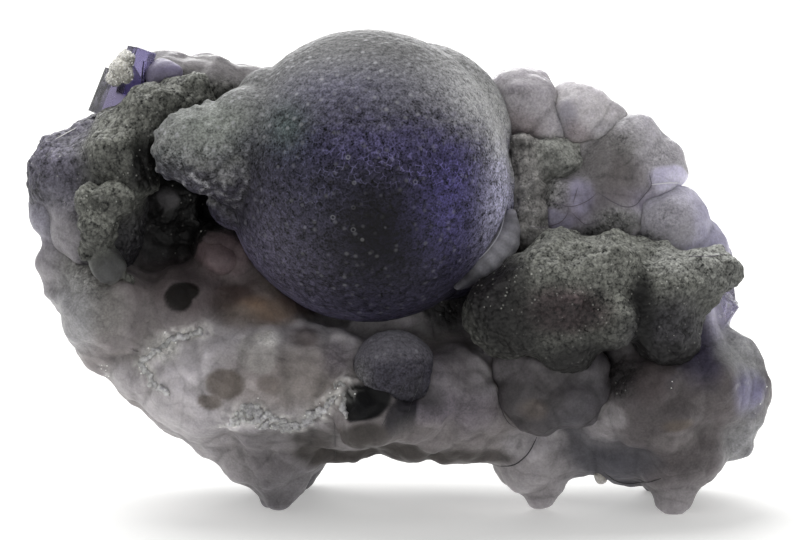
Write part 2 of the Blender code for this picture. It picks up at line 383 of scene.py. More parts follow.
@dataclass(frozen=True)
class DruseFinish:
    """Sugary violet fluorite: rounded grains, dark between them, with frost and a painted sheen of top light
    where it faces up, and painted sparks.
    """

    name: str
    grain: float = 0.5
    # The colour of the painted sparkle highlights.
    dot: tuple[int, int, int] = (172, 172, 176)
    bump: float = 0.00004
    scatter: float = 0.25
    contrast: float = 1.0

    def material(self) -> bpy.types.Material:
        """Builds the material."""
        material, board = new_material(self.name)
        place = board.grown_place()
        distance, chance = board.cells(place, self.grain)
        fine = board.noise(place, 0.35, 2.0)
        speckle = board.noise(place, SPECKLE_WIDTH, 2.0)
        frost = board.step(board.kept("frost") + (board.noise(place, 4.5) - 0.5) * 0.35, 0.05, 0.95)
        deep = 1 - frost
        crinkle = board.kept("crinkle")
        ring = board.band(distance, (0.12, 0.42), (0.42, 0.62))
        broken = board.step(board.noise(place, 0.8, 2.0), 0.46, 0.6)
        lines = 1 - board.step(board.edges(place, self.grain * 1.2), 0.01, 0.1)
        wrinkle = lines * broken * (deep * 0.5 + crinkle * 2.6)
        uneven = (ring * deep * 0.5 + (chance - 0.5) * (0.3 + deep * 0.5)
                  + (fine - 0.5) * 1.0 + (speckle - 0.5) * (2.0 + deep * 1.0) + wrinkle)
        # Painted light: the frost's sheen of top light brightens the grains, and spots of painted light and
        # shade raise or lower them.
        light = (0.72 + frost * 0.2 + uneven * self.contrast) * (1 + board.kept("lift"))
        shaded = board.lit(board.mix(frost, board.kept_colour("tone"), board.kept_colour("frosting")), light)
        # Painted sparkle highlights, more of them in the frost's sheen.
        spark = board.sparks(place, self.grain * 1.5, (0.12, 0.42), (0.4, 0.95))
        rim_distance, rim_chance = board.cells(place, self.grain * 2.3, 2)
        bubble = board.band(rim_distance, (0.09, 0.16), (0.17, 0.26)) * board.step(rim_chance, 0.6, 0.95)
        light_spots = board.maths("MAXIMUM", spark * (0.11 + frost * 0.49), bubble * crinkle * 0.5)
        height = board.dome(place, self.grain) + (fine - 0.5) * 0.8 + (speckle - 0.5) * 1.2
        finish_material(board, board.fluorite({
            "Base Color": board.mix(light_spots * self.contrast, shaded, stone(self.dot)),
            "Roughness": 0.5,
            "Normal": board.bump(height, 0.7, self.bump),
            "Subsurface Weight": self.scatter,
            "Subsurface Scale": 0.0012,
            "Subsurface Radius": (0.9, 0.85, 1.0),
            "Specular IOR Level": 0.2,
        }))
        return material


@dataclass(frozen=True)
class MatrixFinish:
    """Grey to lilac fluorite: smooth and translucent, and rough and sparkling where a crust covers it, with
    painted top light and painted sparks on the crust.
    """

    name: str
    grain: float = 0.5
    cell: float = 4.2
    # The colour of the painted sparkle highlights on the crust.
    spark: tuple[int, int, int] = (200, 200, 194)
    bump: float = 0.00007
    smooth_contrast: float = 0.8
    rough_contrast: float = 1.0

    def material(self) -> bpy.types.Material:
        """Builds the material."""
        material, board = new_material(self.name)
        place = board.grown_place()
        mottle = board.noise(place, 1.6, 3.0)
        crust = board.step(board.kept("crust") + (mottle - 0.5) * 0.9, 0.25, 0.75)
        clouds = board.noise(place, 5.0, 4.0)
        fine = board.noise(place, 0.32, 2.0)
        speckle = board.noise(place, SPECKLE_WIDTH, 2.0)
        smooth = self.smooth_shader(board, clouds, mottle, fine, speckle)
        rough = self.rough_shader(board, clouds, fine, speckle)
        both = board.add("ShaderNodeMixShader", {}, {0: crust, 1: smooth, 2: rough})
        finish_material(board, both.outputs[0])
        return material

    def smooth_shader(self, board: Board, clouds: Number, mottle: Number, fine: Number,
                      speckle: Number) -> bpy.types.NodeSocket:
        """Clouded translucent fluorite, with a dark line where two lumps meet, partly a seam and partly
        painted shade, and a painted highlight on the rim beside it.
        """
        place = board.grown_place()
        painted_crust = board.kept("crust")
        crease = board.kept("crease")
        blotch = board.noise(place, 0.8, 3.0)
        shells = board.cells(place, self.cell, 2)[1]
        grit = (speckle - 0.5) * (0.5 + painted_crust * 1.6) + (fine - 0.5) * (0.3 + painted_crust * 1.0)
        light = 0.97 + ((clouds - 0.5) * 0.9 + (mottle - 0.5) * 0.4 + (blotch - 0.5) * 0.4
                        + (shells - 0.5) * 0.16 + grit) * self.smooth_contrast
        borders = board.edges(place, self.cell)
        # A dark line in each crease, partly a seam and partly painted shade, and a painted highlight on the
        # rim beside it.
        line = (1 - board.step(crease, 0.02, 0.28)) * 0.2 + (1 - board.step(borders, 0.005, 0.05)) * 0.09
        rim = board.band(crease, (0.25, 0.45), (0.45, 0.95)) * 0.06
        height = mottle + (blotch - 0.5) * 0.5 + (fine - 0.5) * 0.3
        return board.fluorite({
            "Base Color": board.lit(board.kept_colour("tone"), light * (1 + rim - line)),
            "Roughness": 0.42,
            "Normal": board.bump(height, 0.4, 0.0002),
            "Subsurface Weight": 1.0,
            "Subsurface Scale": 0.002,
            "Subsurface Radius": (0.9, 0.88, 1.0),
            "Specular IOR Level": 0.25,
        })

    def rough_shader(self, board: Board, clouds: Number, fine: Number,
                     speckle: Number) -> bpy.types.NodeSocket:
        """A sugary crust, with painted top light that makes it lighter where it faces up, and painted sparks.
        """
        place = board.grown_place()
        up = board.kept("up")
        distance, chance = board.cells(place, self.grain)
        normal = board.add("ShaderNodeNewGeometry").outputs["Normal"]
        facing = board.number("ShaderNodeSeparateXYZ", {}, {0: normal}, 2)
        # Painted light: lighter where the crust faces up, darker on its front.
        lit = 0.34 + board.step(up, -0.2, 0.85) * 0.6 + board.step(facing, -0.1, 0.9) * 0.16
        uneven = ((chance - 0.5) * 0.7 + (fine - 0.5) * 1.5 + (speckle - 0.5) * 2.2
                  + (clouds - 0.5) * 0.5 - board.step(distance, 0.35, 0.75) * 0.3)
        colour = board.lit(board.kept_colour("tone"), lit * (1.0 + uneven * self.rough_contrast))
        # Painted sparkle highlights, more on what faces up.
        spark = board.sparks(place, self.grain * 0.9, (0.1, 0.3), (0.7, 0.95))
        shine = spark * (0.1 + 0.5 * board.step(up, -0.4, 0.8))
        height = board.dome(place, self.grain) + (fine - 0.5) * 1.2
        return board.fluorite({
            "Base Color": board.mix(shine, colour, stone(self.spark)),
            "Roughness": 0.55,
            "Normal": board.bump(height, 0.9, self.bump),
            "Subsurface Weight": 0.15,
            "Subsurface Scale": 0.001,
            "Subsurface Radius": (0.9, 0.9, 0.9),
            "Specular IOR Level": 0.35,
        })


@dataclass(frozen=True)
class GlassFinish:
    """Clear fluorite with flat faces: see-through, tinted by its depth, with fine growth lines."""

    name: str
    tint: Colour
    density: float
    roughness: float = 0.12
    lines: float = 0.28

    def material(self) -> bpy.types.Material:
        """Builds the material."""
        material, board = new_material(self.name)
        place = board.add("ShaderNodeTexCoord").outputs["Object"]
        stretched = board.add("ShaderNodeMapping", {}, {"Vector": place, "Scale": (1.0, 1.0, 0.12)})
        growth = board.noise(stretched.outputs[0], self.lines, 2.0)
        haze = board.noise(place, 1.4, 3.0)
        clear = board.fluorite({
            "Base Color": (0.93, 0.92, 0.97),
            "Roughness": board.step(haze, 0.35, 0.75) * 0.35 + self.roughness,
            "Normal": board.bump(growth + haze * 0.5, 0.5, 0.00008),
            "Transmission Weight": 1.0,
        })
        depth = board.add("ShaderNodeVolumeAbsorption", {}, {"Color": self.tint, "Density": self.density})
        board.add("ShaderNodeOutputMaterial", {}, {"Surface": clear, "Volume": depth.outputs[0]})
        return material


def deselect() -> None:
    """Leaves object mode's selection empty."""
    if bpy.context.object and bpy.context.object.mode != "OBJECT":
        bpy.ops.object.mode_set(mode="OBJECT")
    bpy.ops.object.select_all(action="DESELECT")


def only(thing: bpy.types.Object) -> None:
    """Makes one object the selected and active one."""
    deselect()
    thing.select_set(True)
    bpy.context.view_layer.objects.active = thing


def apply(thing: bpy.types.Object, kind: str, **settings: object) -> None:
    """Adds a modifier with its settings and applies it."""
    only(thing)
    modifier = thing.modifiers.new(kind.lower(), kind)
    for name, value in settings.items():
        setattr(modifier, name, value)
    bpy.ops.object.modifier_apply(modifier=modifier.name)


def settle(thing: bpy.types.Object) -> None:
    """Puts the object's place, turn and size into its mesh."""
    only(thing)
    bpy.ops.object.transform_apply(location=True, rotation=True, scale=True)


def places_of(mesh: bpy.types.Mesh) -> np.ndarray:
    """The mesh's points, in millimetres from the lumps' own zero."""
    found = np.empty(len(mesh.vertices) * 3)
    mesh.vertices.foreach_get("co", found)
    return found.reshape(-1, 3) / MM - np.array(REST)


def facings_of(mesh: bpy.types.Mesh) -> np.ndarray:
    """The mesh's directions at its points."""
    found = np.empty(len(mesh.vertices) * 3)
    mesh.vertices.foreach_get("normal", found)
    return found.reshape(-1, 3)


def keep(mesh: bpy.types.Mesh, name: str, values: np.ndarray) -> None:
    """Paints one number, or one colour, on each point of a mesh."""
    if values.ndim == 1:
        layer = mesh.attributes.new(name, "FLOAT", "POINT")
        layer.data.foreach_set("value", values.astype(np.float32))
    else:
        colours = np.ones((len(values), 4), dtype=np.float32)
        colours[:, :3] = values
        layer = mesh.attributes.new(name, "FLOAT_COLOR", "POINT")
        layer.data.foreach_set("color", colours.ravel())


def smooth_step(value: np.ndarray, low: float, high: float) -> np.ndarray:
    """A smooth step from 0 at low to 1 at high."""
    t = np.clip((value - low) / (high - low), 0.0, 1.0)
    return t * t * (3 - 2 * t)


def near(points: np.ndarray, centre: tuple[float, ...], reach: tuple[float, ...]) -> np.ndarray:
    """How near each point lies to a spot: 1 at its middle, and a fifth at its reach on each axis."""
    far = np.linalg.norm((points - centre) / np.array(reach), axis=1)
    return np.exp(-FALL_OFF * far ** 2)


def painted(points: np.ndarray, base: tuple[int, ...], spots: list[tuple]) -> np.ndarray:
    """Colours at points: a base tone, and spots of other tones laid over it one after the other.

    Args:
        points: The points in millimetres.
        base: The base tone on screen, 0 to 255.
        spots: The middle, the reach on each axis and the screen tone of each spot.

    Returns:
        A colour for each point.
    """
    colours = np.tile(stone(base), (len(points), 1))
    for centre, reach, tone in spots:
        blend_in(colours, tone, near(points, centre, reach))
    return colours


def blend_in(colours: np.ndarray, tone: tuple[float, ...], amount: np.ndarray) -> None:
    """Moves colours towards a screen tone, by an amount for each point."""
    colours += (np.array(stone(tone)) - colours) * amount[:, None]


def curve_at(t: float, before: float, start: float, end: float, after: float) -> float:
    """One number on the smooth curve through four, a share t of the way from the second to the third."""
    bend = (2 * before - 5 * start + 4 * end - after) * t ** 2
    twist = (3 * start - before - 3 * end + after) * t ** 3
    return 0.5 * (2 * start + (end - before) * t + bend + twist)


def knobs_on(lumps: list[Ball], count: int, least: float, most: float, rise: float, seed: int) -> list[Ball]:
    """Small lumps scattered over bigger ones, as in the part's source.

    Args:
        lumps: The lumps that they sit on.
        count: Knobs on each lump.
        least: The least radius.
        most: The most radius.
        rise: How far a knob stands out of its lump.
        seed: The seed of the draw.

    Returns:
        The knobs.
    """
    draw = random.Random(seed)
    knobs = []
    for x, y, z, r in lumps:
        for _ in range(count):
            way = Vector((draw.gauss(0.0, 1.0), draw.gauss(0.0, 1.0), draw.gauss(0.0, 1.0))).normalized()
            size = min(draw.uniform(least, most), 0.8 * r)
            centre = Vector((x, y, z)) + way * (r - size + rise)
            knobs.append((*centre, size))
    return knobs


@dataclass(frozen=True)
class Grains:
    """A layer of rounded grains, in millimetres, that may follow a painted value."""

    width: float
    height: float
    where: str = ""


@dataclass(frozen=True)
class Patch:
    """A stain, window, bare spot or spot of painted shade or painted light, as seen from the front: its
    middle, its half width and half height.
    """

    x: float
    z: float
    wide: float
    high: float
    tone: Tone
    amount: float = 1.0
    soft: float = 0.5
    sink: float = 0.0

    def reach(self) -> np.ndarray:
        """How far the patch goes on each axis. It goes deeper than it is wide or high."""
        return np.array((self.wide, max(self.wide, self.high) * PATCH_DEPTH, self.high))


@dataclass(frozen=True)
class Trail:
    """A line on the front, as pairs of millimetres across and up, with its half width and its tone."""

    spots: tuple[tuple[float, float], ...]
    width: float
    tone: Tone
    amount: float = 1.0
    crystals: float = 0.0
    rise: float = 0.0

    def samples(self, spacing: float = 0.25) -> list[tuple[float, float]]:
        """The line's spots, with more between them on a smooth curve, at a spacing in millimetres."""
        ends = [self.spots[0], *self.spots, self.spots[-1]]
        found = []
        for four in zip(ends, ends[1:], ends[2:], ends[3:]):
            count = max(1, round(math.dist(four[1], four[2]) / spacing))
            found += [tuple(curve_at(i / count, *values) for values in zip(*four)) for i in range(count)]
        return [*found, self.spots[-1]]

    def weight(self, points: np.ndarray, tree: BVHTree) -> np.ndarray:
        """How much of the line lies on each point of a surface, in broken stretches."""
        far = np.full(len(points), FAR_OFF)
        for x, z in self.samples():
            hit = front_hit(tree, x, z)
            if hit is not None:
                far = np.minimum(far, np.linalg.norm(points - hit, axis=1))
        weight = 1 - smooth_step(far, 0.3 * self.width, 1.9 * self.width)
        for number in np.flatnonzero(weight):
            place = Vector(points[number])
            ragged = noise.noise(place * 1.6) + 0.5 * noise.noise(place * 4.0)
            weight[number] *= min(max(0.55 + 1.3 * ragged, 0.0), 1.0)
        return weight


@dataclass
class Growth:
    """A body of rounded lumps, welded into one closed skin, painted and grained."""

    name: str
    lumps: dict[Tone, list[Ball]]
    knobs: dict[Tone, list[Ball]] = field(default_factory=dict)
    patches: list[Patch] = field(default_factory=list)
    trails: list[Trail] = field(default_factory=list)
    grains: list[Grains] = field(default_factory=list)
    waves: list[Grains] = field(default_factory=list)
    warps: list[Grains] = field(default_factory=lambda: [Grains(7.0, 0.9), Grains(2.6, 0.4)])
    voxel: float = 0.25
    trim: float = 0.12
    blend: float = 0.45
    melt: int = 8
    swell: float = 0.0

    def all_balls(self) -> list[tuple[Ball, Tone]]:
        """Every lump and knob with its tone."""
        groups = [*self.lumps.items(), *self.knobs.items()]
        return [(ball, tone) for tone, balls in groups for ball in balls]

    def build(self) -> bpy.types.Object:
        """Models, paints and grains the body.

        Returns:
            The finished piece, without its material.
        """
        balls = self.all_balls()
        deselect()
        bpy.ops.mesh.primitive_ico_sphere_add(subdivisions=4, radius=1.0, location=(0.0, 0.0, 0.0))
        first = bpy.context.object
        copies = []
        for (x, y, z, r), _ in balls:
            copy = first.copy()
            copy.data = first.data.copy()
            copy.location = (Vector((x, y, z)) + Vector(REST)) * MM
            copy.scale = ((r - self.trim + self.swell) * MM,) * 3
            bpy.context.scene.collection.objects.link(copy)
            copies.append(copy)
        bpy.data.objects.remove(first, do_unlink=True)
        for copy in copies:
            copy.select_set(True)
        thing = copies[0]
        bpy.context.view_layer.objects.active = thing
        bpy.ops.object.join()
        settle(thing)
        thing.name = self.name
        thing.data.name = self.name
        apply(thing, "REMESH", mode="VOXEL", voxel_size=self.voxel * MM, use_smooth_shade=True)
        if self.swell:
            apply(thing, "SMOOTH", factor=0.5, iterations=3)
            apply(thing, "DISPLACE", strength=-self.swell * MM, mid_level=0.0)
        if self.melt:
            apply(thing, "SMOOTH", factor=0.5, iterations=self.melt)
        self.paint(thing)
        self.grow(thing)
        flatten_feet(thing.data)
        only(thing)
        bpy.ops.object.shade_smooth()
        return thing

    def paint(self, thing: bpy.types.Object) -> None:
        """Paints the tones of the lumps and the patches, and the creases between lumps."""
        mesh = thing.data
        points = places_of(mesh)
        colours, crust, crease = self.blended(points)
        sink = np.zeros(len(points))
        crystals = np.zeros(len(points))
        tree = BVHTree.FromObject(thing, bpy.context.evaluated_depsgraph_get())
        for patch in self.patches:
            hit = front_hit(tree, patch.x, patch.z)
            if hit is None:
                continue
            far = np.linalg.norm((points - hit) / patch.reach(), axis=1)
            weight = (1 - smooth_step(far, 1 - patch.soft, 1 + patch.soft)) * patch.amount
            blend_in(colours, patch.tone.value, weight)
            crust += (patch.tone.value[3] - crust) * weight
            sink += patch.sink * (1 - smooth_step(far, *SINK_EDGE))
        for trail in self.trails:
            weight = trail.weight(points, tree)
            blend_in(colours, trail.tone.value, weight * trail.amount)
            crystals = np.maximum(crystals, weight * trail.crystals)
            sink -= trail.rise * weight
        up = facings_of(mesh)[:, 2]
        keep(mesh, "tone", colours)
        keep(mesh, "crust", crust)
        keep(mesh, "sink", sink * MM)
        keep(mesh, "crease", crease)
        keep(mesh, "up", up)
        keep(mesh, "crystals", crystals)
        keep(mesh, "dust", crust * smooth_step(up, -0.2, 0.7))

    def blended(self, points: np.ndarray) -> tuple[np.ndarray, np.ndarray, np.ndarray]:
        """Blends the tones of the lumps that lie nearest to each point.

        Returns:
            The colours, how granular each point is, and how far it lies from a crease between two lumps.
        """
        balls = self.all_balls()
        nearest = np.full(len(points), FAR_OFF)
        second = np.full(len(points), FAR_OFF)
        gaps = []
        for (x, y, z, r), _ in balls:
            gap = (np.linalg.norm(points - (x, y, z), axis=1) - r).astype(np.float32)
            gaps.append(gap)
            second = np.where(gap < nearest, nearest, np.minimum(second, gap))
            nearest = np.minimum(nearest, gap)
        shares = np.zeros(len(points))
        colours = np.zeros((len(points), 3))
        crust = np.zeros(len(points))
        for gap, (_, tone) in zip(gaps, balls):
            share = np.exp((nearest - gap) / self.blend)
            shares += share
            colours += share[:, None] * stone(tone.value)
            crust += share * tone.value[3]
        return colours / shares[:, None], crust / shares, second - nearest

    def grow(self, thing: bpy.types.Object) -> None:
        """Raises the grains and the waves along the surface's own directions."""
        group, board, shape = new_geometry(f"{self.name}_growth")
        place = board.add("GeometryNodeInputPosition").outputs[0]
        for layer in self.warps:
            sockets = {"Vector": place, "Scale": 1 / (layer.width * MM), "Detail": 1.0}
            cloud = board.add("ShaderNodeTexNoise", {"noise_dimensions": "3D"}, sockets).outputs["Color"]
            sockets = {0: cloud, 1: (0.5, 0.5, 0.5)}
            drift = board.add("ShaderNodeVectorMath", {"operation": "SUBTRACT"}, sockets)
            shape = board.moved(shape, drift.outputs[0], 2 * layer.height * MM)
        settings = {"data_type": "FLOAT_VECTOR", "domain": "POINT"}
        sockets = {"Geometry": shape, "Name": "grown", "Value": place}
        shape = board.add("GeometryNodeStoreNamedAttribute", settings, sockets).outputs[0]
        layers = [(board.dome(place, layer.width), layer.height, layer.where) for layer in self.grains]
        layers += [(board.noise(place, layer.width), 2 * layer.height, layer.where) for layer in self.waves]
        rises = []
        for wave, height, where in layers:
            rise = (wave - 0.5) * (height * MM)
            rises.append(rise * board.named(where) if where else rise)
        height = sum(rises[1:], rises[0]) - board.named("sink")
        shape = board.moved(shape, board.add("GeometryNodeInputNormal").outputs[0], height)
        board.add("NodeGroupOutput", {}, {0: shape})
        apply(thing, "NODES", node_group=group)


def front_hit(tree: BVHTree, x: float, z: float) -> np.ndarray | None:
    """Finds the surface that shows at a place in the front view.

    Args:
        tree: The surface.
        x: Millimetres across.
        z: Millimetres up, as seen from the front.

    Returns:
        The point in millimetres, or None where there is nothing.
    """
    start = Vector((x, -ROOM, z + ROOM * FRONT_SLOPE)) + Vector(REST)
    way = Vector((0.0, 1.0, -FRONT_SLOPE)).normalized()
    hit = tree.ray_cast(start * MM, way)[0]
    return None if hit is None else np.array(hit) / MM - np.array(REST)


def heap_along(trail: Trail, tree: BVHTree, least: float, most: float, seed: int) -> list[Ball]:
    """Small lumps heaped along a line on a surface.

    Args:
        trail: The line. Its width is how far the heap spreads.
        tree: The surface.
        least: The least radius.
        most: The most radius.
        seed: The seed of the draw.

    Returns:
        The lumps.
    """
    draw = random.Random(seed)
    heap = []
    for x, z in trail.samples(0.12):
        hit = front_hit(tree, x + draw.gauss(0.0, trail.width), z + draw.gauss(0.0, trail.width))
        if hit is not None:
            heap.append((*hit, draw.uniform(least, most)))
    return heap


def flatten_feet(mesh: bpy.types.Mesh) -> None:
    """Brings every point under the floor up to it, so that the feet rest flat."""
    points = np.empty(len(mesh.vertices) * 3)
    mesh.vertices.foreach_get("co", points)
    points = points.reshape(-1, 3)
    points[:, 2] = np.maximum(points[:, 2], 0.0)
    mesh.vertices.foreach_set("co", points.ravel())
    mesh.update()


def place_piece(thing: bpy.types.Object, replaces: str, material: bpy.types.Material) -> None:
    """Gives a piece its finish and its body, and hides the part that it stands for."""
    thing.data.materials.clear()
    thing.data.materials.append(material)
    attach(thing, BODY)
    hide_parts(replaces)
    log.info("%s: %d faces", thing.name, len(thing.data.polygons))


def copy_of(thing: bpy.types.Object, name: str) -> bpy.types.Object:
    """A copy of a piece with its own mesh."""
    twin = thing.copy()
    twin.data = thing.data.copy()
    twin.name = name
    twin.data.name = name
    bpy.context.scene.collection.objects.link(twin)
    return twin


def part_of(thing: bpy.types.Object, name: str, low: Place, high: Place) -> bpy.types.Object:
    """Copies what lies in a box, written as two corners in millimetres, and shades its cut flat."""
    part = copy_of(thing, name)
    deselect()
    middle = (Vector(low) + Vector(high)) / 2 + Vector(REST)
    bpy.ops.mesh.primitive_cube_add(size=1.0, location=middle * MM)
    box = bpy.context.object
    box.scale = (Vector(high) - Vector(low)) * MM
    settle(box)
    apply(part, "BOOLEAN", operation="INTERSECT", object=box, solver="MANIFOLD")
    bpy.data.objects.remove(box, do_unlink=True)
    for face in part.data.polygons:
        depth = face.center.y / MM - REST[1]
        if abs(face.normal.y) > CUT_FACING and abs(depth - CUT_DEPTH) < CUT_TOLERANCE:
            face.use_smooth = False
    return part


def crystal_dust(source: bpy.types.Object, name: str, mask: str, density: float, least: float, most: float,
                 seed: int) -> bpy.types.Object:
    """Scatters small cubes of fluorite over a surface, where a painted value asks for them.

    Args:
        source: The surface.
        name: The name of the new piece.
        mask: The painted value, 0 to 1.
        density: Cubes on each square millimetre where the value is 1.
        least: The least edge in millimetres.
        most: The most edge in millimetres.
        seed: The seed of the draw.

    Returns:
        The piece, without its material.
    """
    group, board, start = new_geometry(f"{name}_scatter")
    density_wanted = board.named(mask) * (density / MM ** 2)
    points = board.add("GeometryNodeDistributePointsOnFaces", {"distribute_method": "RANDOM"},
                       {"Mesh": start, "Density": density_wanted, "Seed": seed}).outputs[0]
    cube = board.add("GeometryNodeMeshCube", {}, {"Size": (1.0, 1.0, 1.0)}).outputs[0]
    turn = board.add("FunctionNodeRandomValue", {"data_type": "FLOAT_VECTOR"},
                     {"Min": (0.0, 0.0, 0.0), "Max": (FULL_TURN, FULL_TURN, FULL_TURN), "Seed": seed})
    size = board.add("FunctionNodeRandomValue", {"data_type": "FLOAT"},
                     {"Min": least * MM, "Max": most * MM, "Seed": seed + 1})
    placed = board.add("GeometryNodeInstanceOnPoints", {}, {
        "Points": points,
        "Instance": cube,
        "Rotation": next(s for s in turn.outputs if s.enabled),
        "Scale": next(s for s in size.outputs if s.enabled),
    }).outputs[0]
    real = board.add("GeometryNodeRealizeInstances", {}, {"Geometry": placed}).outputs[0]
    board.add("NodeGroupOutput", {}, {0: real})
    thing = copy_of(source, name)
    apply(thing, "NODES", node_group=group)
    return thing


@dataclass(frozen=True)
class Thread:
    """A thin edge, painted glint, crack or seam that lies on the front, as pairs of millimetres across and
    up.
    """

    spots: tuple[tuple[float, float], ...]
    radius: float
    tone: Tone
    replaces: str = "matrix"

    def build(self, name: str, trees: list[BVHTree]) -> bpy.types.Object | None:
        """Lays the thread on whatever shows there, in lengths that break where the depth jumps.

        Returns:
            The piece, without its material, or None where nothing lies under it.
        """
        lengths = [[]]
        for x, z in Trail(self.spots, self.radius, self.tone).samples(0.3):
            hits = [hit for tree in trees if (hit := front_hit(tree, x, z)) is not None]
            if not hits:
                continue
            hit = min(hits, key=lambda place: place[1])
            if lengths[-1] and np.linalg.norm(hit - lengths[-1][-1]) > THREAD_STEP:
                lengths.append([])
            lengths[-1].append(hit)
        lengths = [length for length in lengths if len(length) > 2]
        if not lengths:
            return None
        curve = bpy.data.curves.new(name, "CURVE")
        curve.dimensions = "3D"
        curve.bevel_depth = self.radius * MM
        curve.bevel_resolution = 2
        curve.use_fill_caps = True
        for length in lengths:
            line = curve.splines.new("POLY")
            line.points.add(len(length) - 1)
            for number, (point, hit) in enumerate(zip(line.points, length)):
                from_end = min(number, len(length) - 1 - number)
                point.co = (*((Vector(hit) + Vector(REST)) * MM), 1.0)
                point.radius = min(1.0, 0.35 + 0.2 * from_end)
        thing = bpy.data.objects.new(name, curve)
        bpy.context.scene.collection.objects.link(thing)
        only(thing)
        bpy.ops.object.convert(target="MESH")
        bpy.ops.object.shade_smooth()
        return bpy.context.object


@dataclass(frozen=True)
class PlainFinish:
    """One colour and one gloss, for the thin edges, the painted glints and the crystal dust."""

    name: str
    tone: Tone
    roughness: float = 0.3

    def material(self) -> bpy.types.Material:
        """Builds the material."""
        material, board = new_material(self.name)
        finish_material(board, board.fluorite({
            "Base Color": stone(self.tone.value),
            "Roughness": self.roughness,
        }))
        return material


@dataclass(frozen=True)
class Block:
    """A block of crystal in millimetres and degrees."""

    centre: Place
    size: Place
    turn: Place

    def build(self, name: str) -> bpy.types.Object:
        """Models the block in the finished frame."""
        deselect()
        place = (Vector(self.centre) + Vector(REST)) * MM
        turn = [math.radians(angle) for angle in self.turn]
        bpy.ops.mesh.primitive_cube_add(size=1.0, location=place, rotation=turn)
        thing = bpy.context.object
        thing.name = name
        thing.data.name = name
        thing.scale = [edge * MM for edge in self.size]
        settle(thing)
        return thing


def crystal_of(name: str, blocks: list[Block], bevel: float) -> bpy.types.Object:
    """Blocks grown through each other, joined in one closed solid with fine edges."""
    thing = blocks[0].build(name)
    for number, block in enumerate(blocks[1:]):
        other = block.build(f"{name}_{number}")
        apply(thing, "BOOLEAN", operation="UNION", object=other, solver="EXACT")
        bpy.data.objects.remove(other, do_unlink=True)
    apply(thing, "BEVEL", width=bevel * MM, segments=2, limit_method="ANGLE")
    return thing


BALL_CENTRE = (-3.4, -3.0, 33.6)
BALL_RADIUS = 14.0
BALL_LUMPS = [
    (-3.4, -3.0, 33.1, 14.05),
    (-3.4, -3.0, 33.9, 14.0),
]
SMALL_BALL = (-0.8, -7.8, 14.7, 4.4)

SHOULDER_LUMPS = [
    (1.5, 0.5, 37.0, 9.4),
    (1.4, 1.5, 30.6, 10.8),
]
LOBE_LUMPS = [
    (-12.6, -4.0, 40.4, 4.0),
    (-14.5, -6.2, 37.8, 5.0),
    (-18.0, -6.8, 36.6, 4.5),
    (-20.4, -7.3, 36.8, 3.8),
    (-21.8, -8.0, 35.9, 2.3),
    (-19.2, -8.4, 34.9, 2.8),
    (-16.2, -8.0, 34.4, 3.4),
    (-16.2, -5.0, 31.2, 2.9),
]
CORE_LUMPS = [
    (-20.0, 10.0, 27.0, 9.0),
    (-4.0, 10.5, 28.0, 10.5),
    (13.0, 8.0, 27.0, 9.0),
    (22.0, 8.0, 24.0, 8.5),
    (-21.6, 8.0, 17.4, 7.6),
    (-8.0, 7.0, 15.0, 9.2),
    (8.0, 6.0, 15.5, 9.0),
    (22.0, 6.0, 14.0, 8.5),
    (-26.0, 5.0, 33.0, 6.0),
    (-21.0, 5.0, 35.0, 5.5),
    (14.0, 6.0, 34.0, 5.5),
    (0.0, 4.0, 20.0, 8.0),
    (14.0, 0.0, 20.0, 7.0),
    (25.0, 1.0, 17.0, 7.5),
    (-12.5, 3.0, 11.0, 7.5),
    (-15.6, 7.0, 8.9, 4.8),
    (-16.0, 8.0, 36.0, 6.0),
    (-25.0, 6.0, 27.5, 6.5),
    (-27.0, 4.5, 22.0, 6.5),
    (27.5, 6.0, 11.5, 6.5),
    (28.3, 6.5, 19.0, 4.9),
    (-12.3, 2.0, 8.0, 5.6),
    (-12.2, 8.5, 7.8, 5.8),
    (12.8, 2.0, 9.6, 5.6),
    (26.4, 2.0, 8.0, 5.8),
    (26.6, 7.5, 8.0, 6.0),
]
BACK_LUMPS = [
    (-26.5, 12.5, 30.0, 5.0),
    (-13.0, 15.5, 31.0, 5.0),
    (-17.0, 15.0, 22.5, 5.5),
    (-6.0, 16.5, 24.0, 5.5),
    (4.0, 16.0, 30.0, 5.0),
    (6.0, 14.5, 21.5, 5.5),
    (16.0, 13.5, 29.5, 5.5),
    (15.0, 13.0, 19.5, 5.0),
    (25.5, 12.5, 24.0, 5.0),
    (23.0, 12.0, 15.5, 5.5),
    (-27.0, 11.0, 20.5, 5.0),
    (-18.5, 12.5, 12.5, 5.0),
    (-8.0, 13.0, 14.5, 5.5),
    (2.0, 12.0, 13.0, 5.5),
    (12.5, 11.0, 12.5, 5.0),
    (-12.5, 11.0, 8.0, 5.0),
    (26.5, 10.0, 8.5, 5.0),
    (-4.0, 12.5, 36.5, 4.0),
    (9.0, 11.0, 34.0, 4.5),
]
BACK_FEET = [
    (-11.8, 11.0, 3.8, 4.2),
    (26.5, 10.0, 3.0, 3.5),
]
LEFT_OLIVE = [
    (-27.1, -2.0, 37.2, 3.2),
    (-24.5, -2.0, 39.2, 3.4),
    (-21.5, 0.0, 40.0, 3.2),
    (-28.0, -4.0, 35.8, 3.2),
    (-26.6, -4.6, 33.4, 2.6),
]
LEFT_KNOBS = [
    (-27.9, -6.6, 31.4, 2.0),
    (-30.6, -6.2, 31.2, 1.8),
    (-29.8, -6.8, 28.6, 2.1),
    (-31.0, -6.0, 26.4, 1.1),
    (-26.6, -5.0, 23.4, 0.8),
]
LEFT_BALLS = [
    (-28.7, -6.4, 25.2, 2.1),
]
LEFT_DARK = [
    (-29.0, 3.0, 33.4, 5.8),
    (-30.0, -1.0, 28.5, 5.0),
]
LEFT_VIOLET = [
    (-32.5, 1.0, 32.9, 4.8),
]
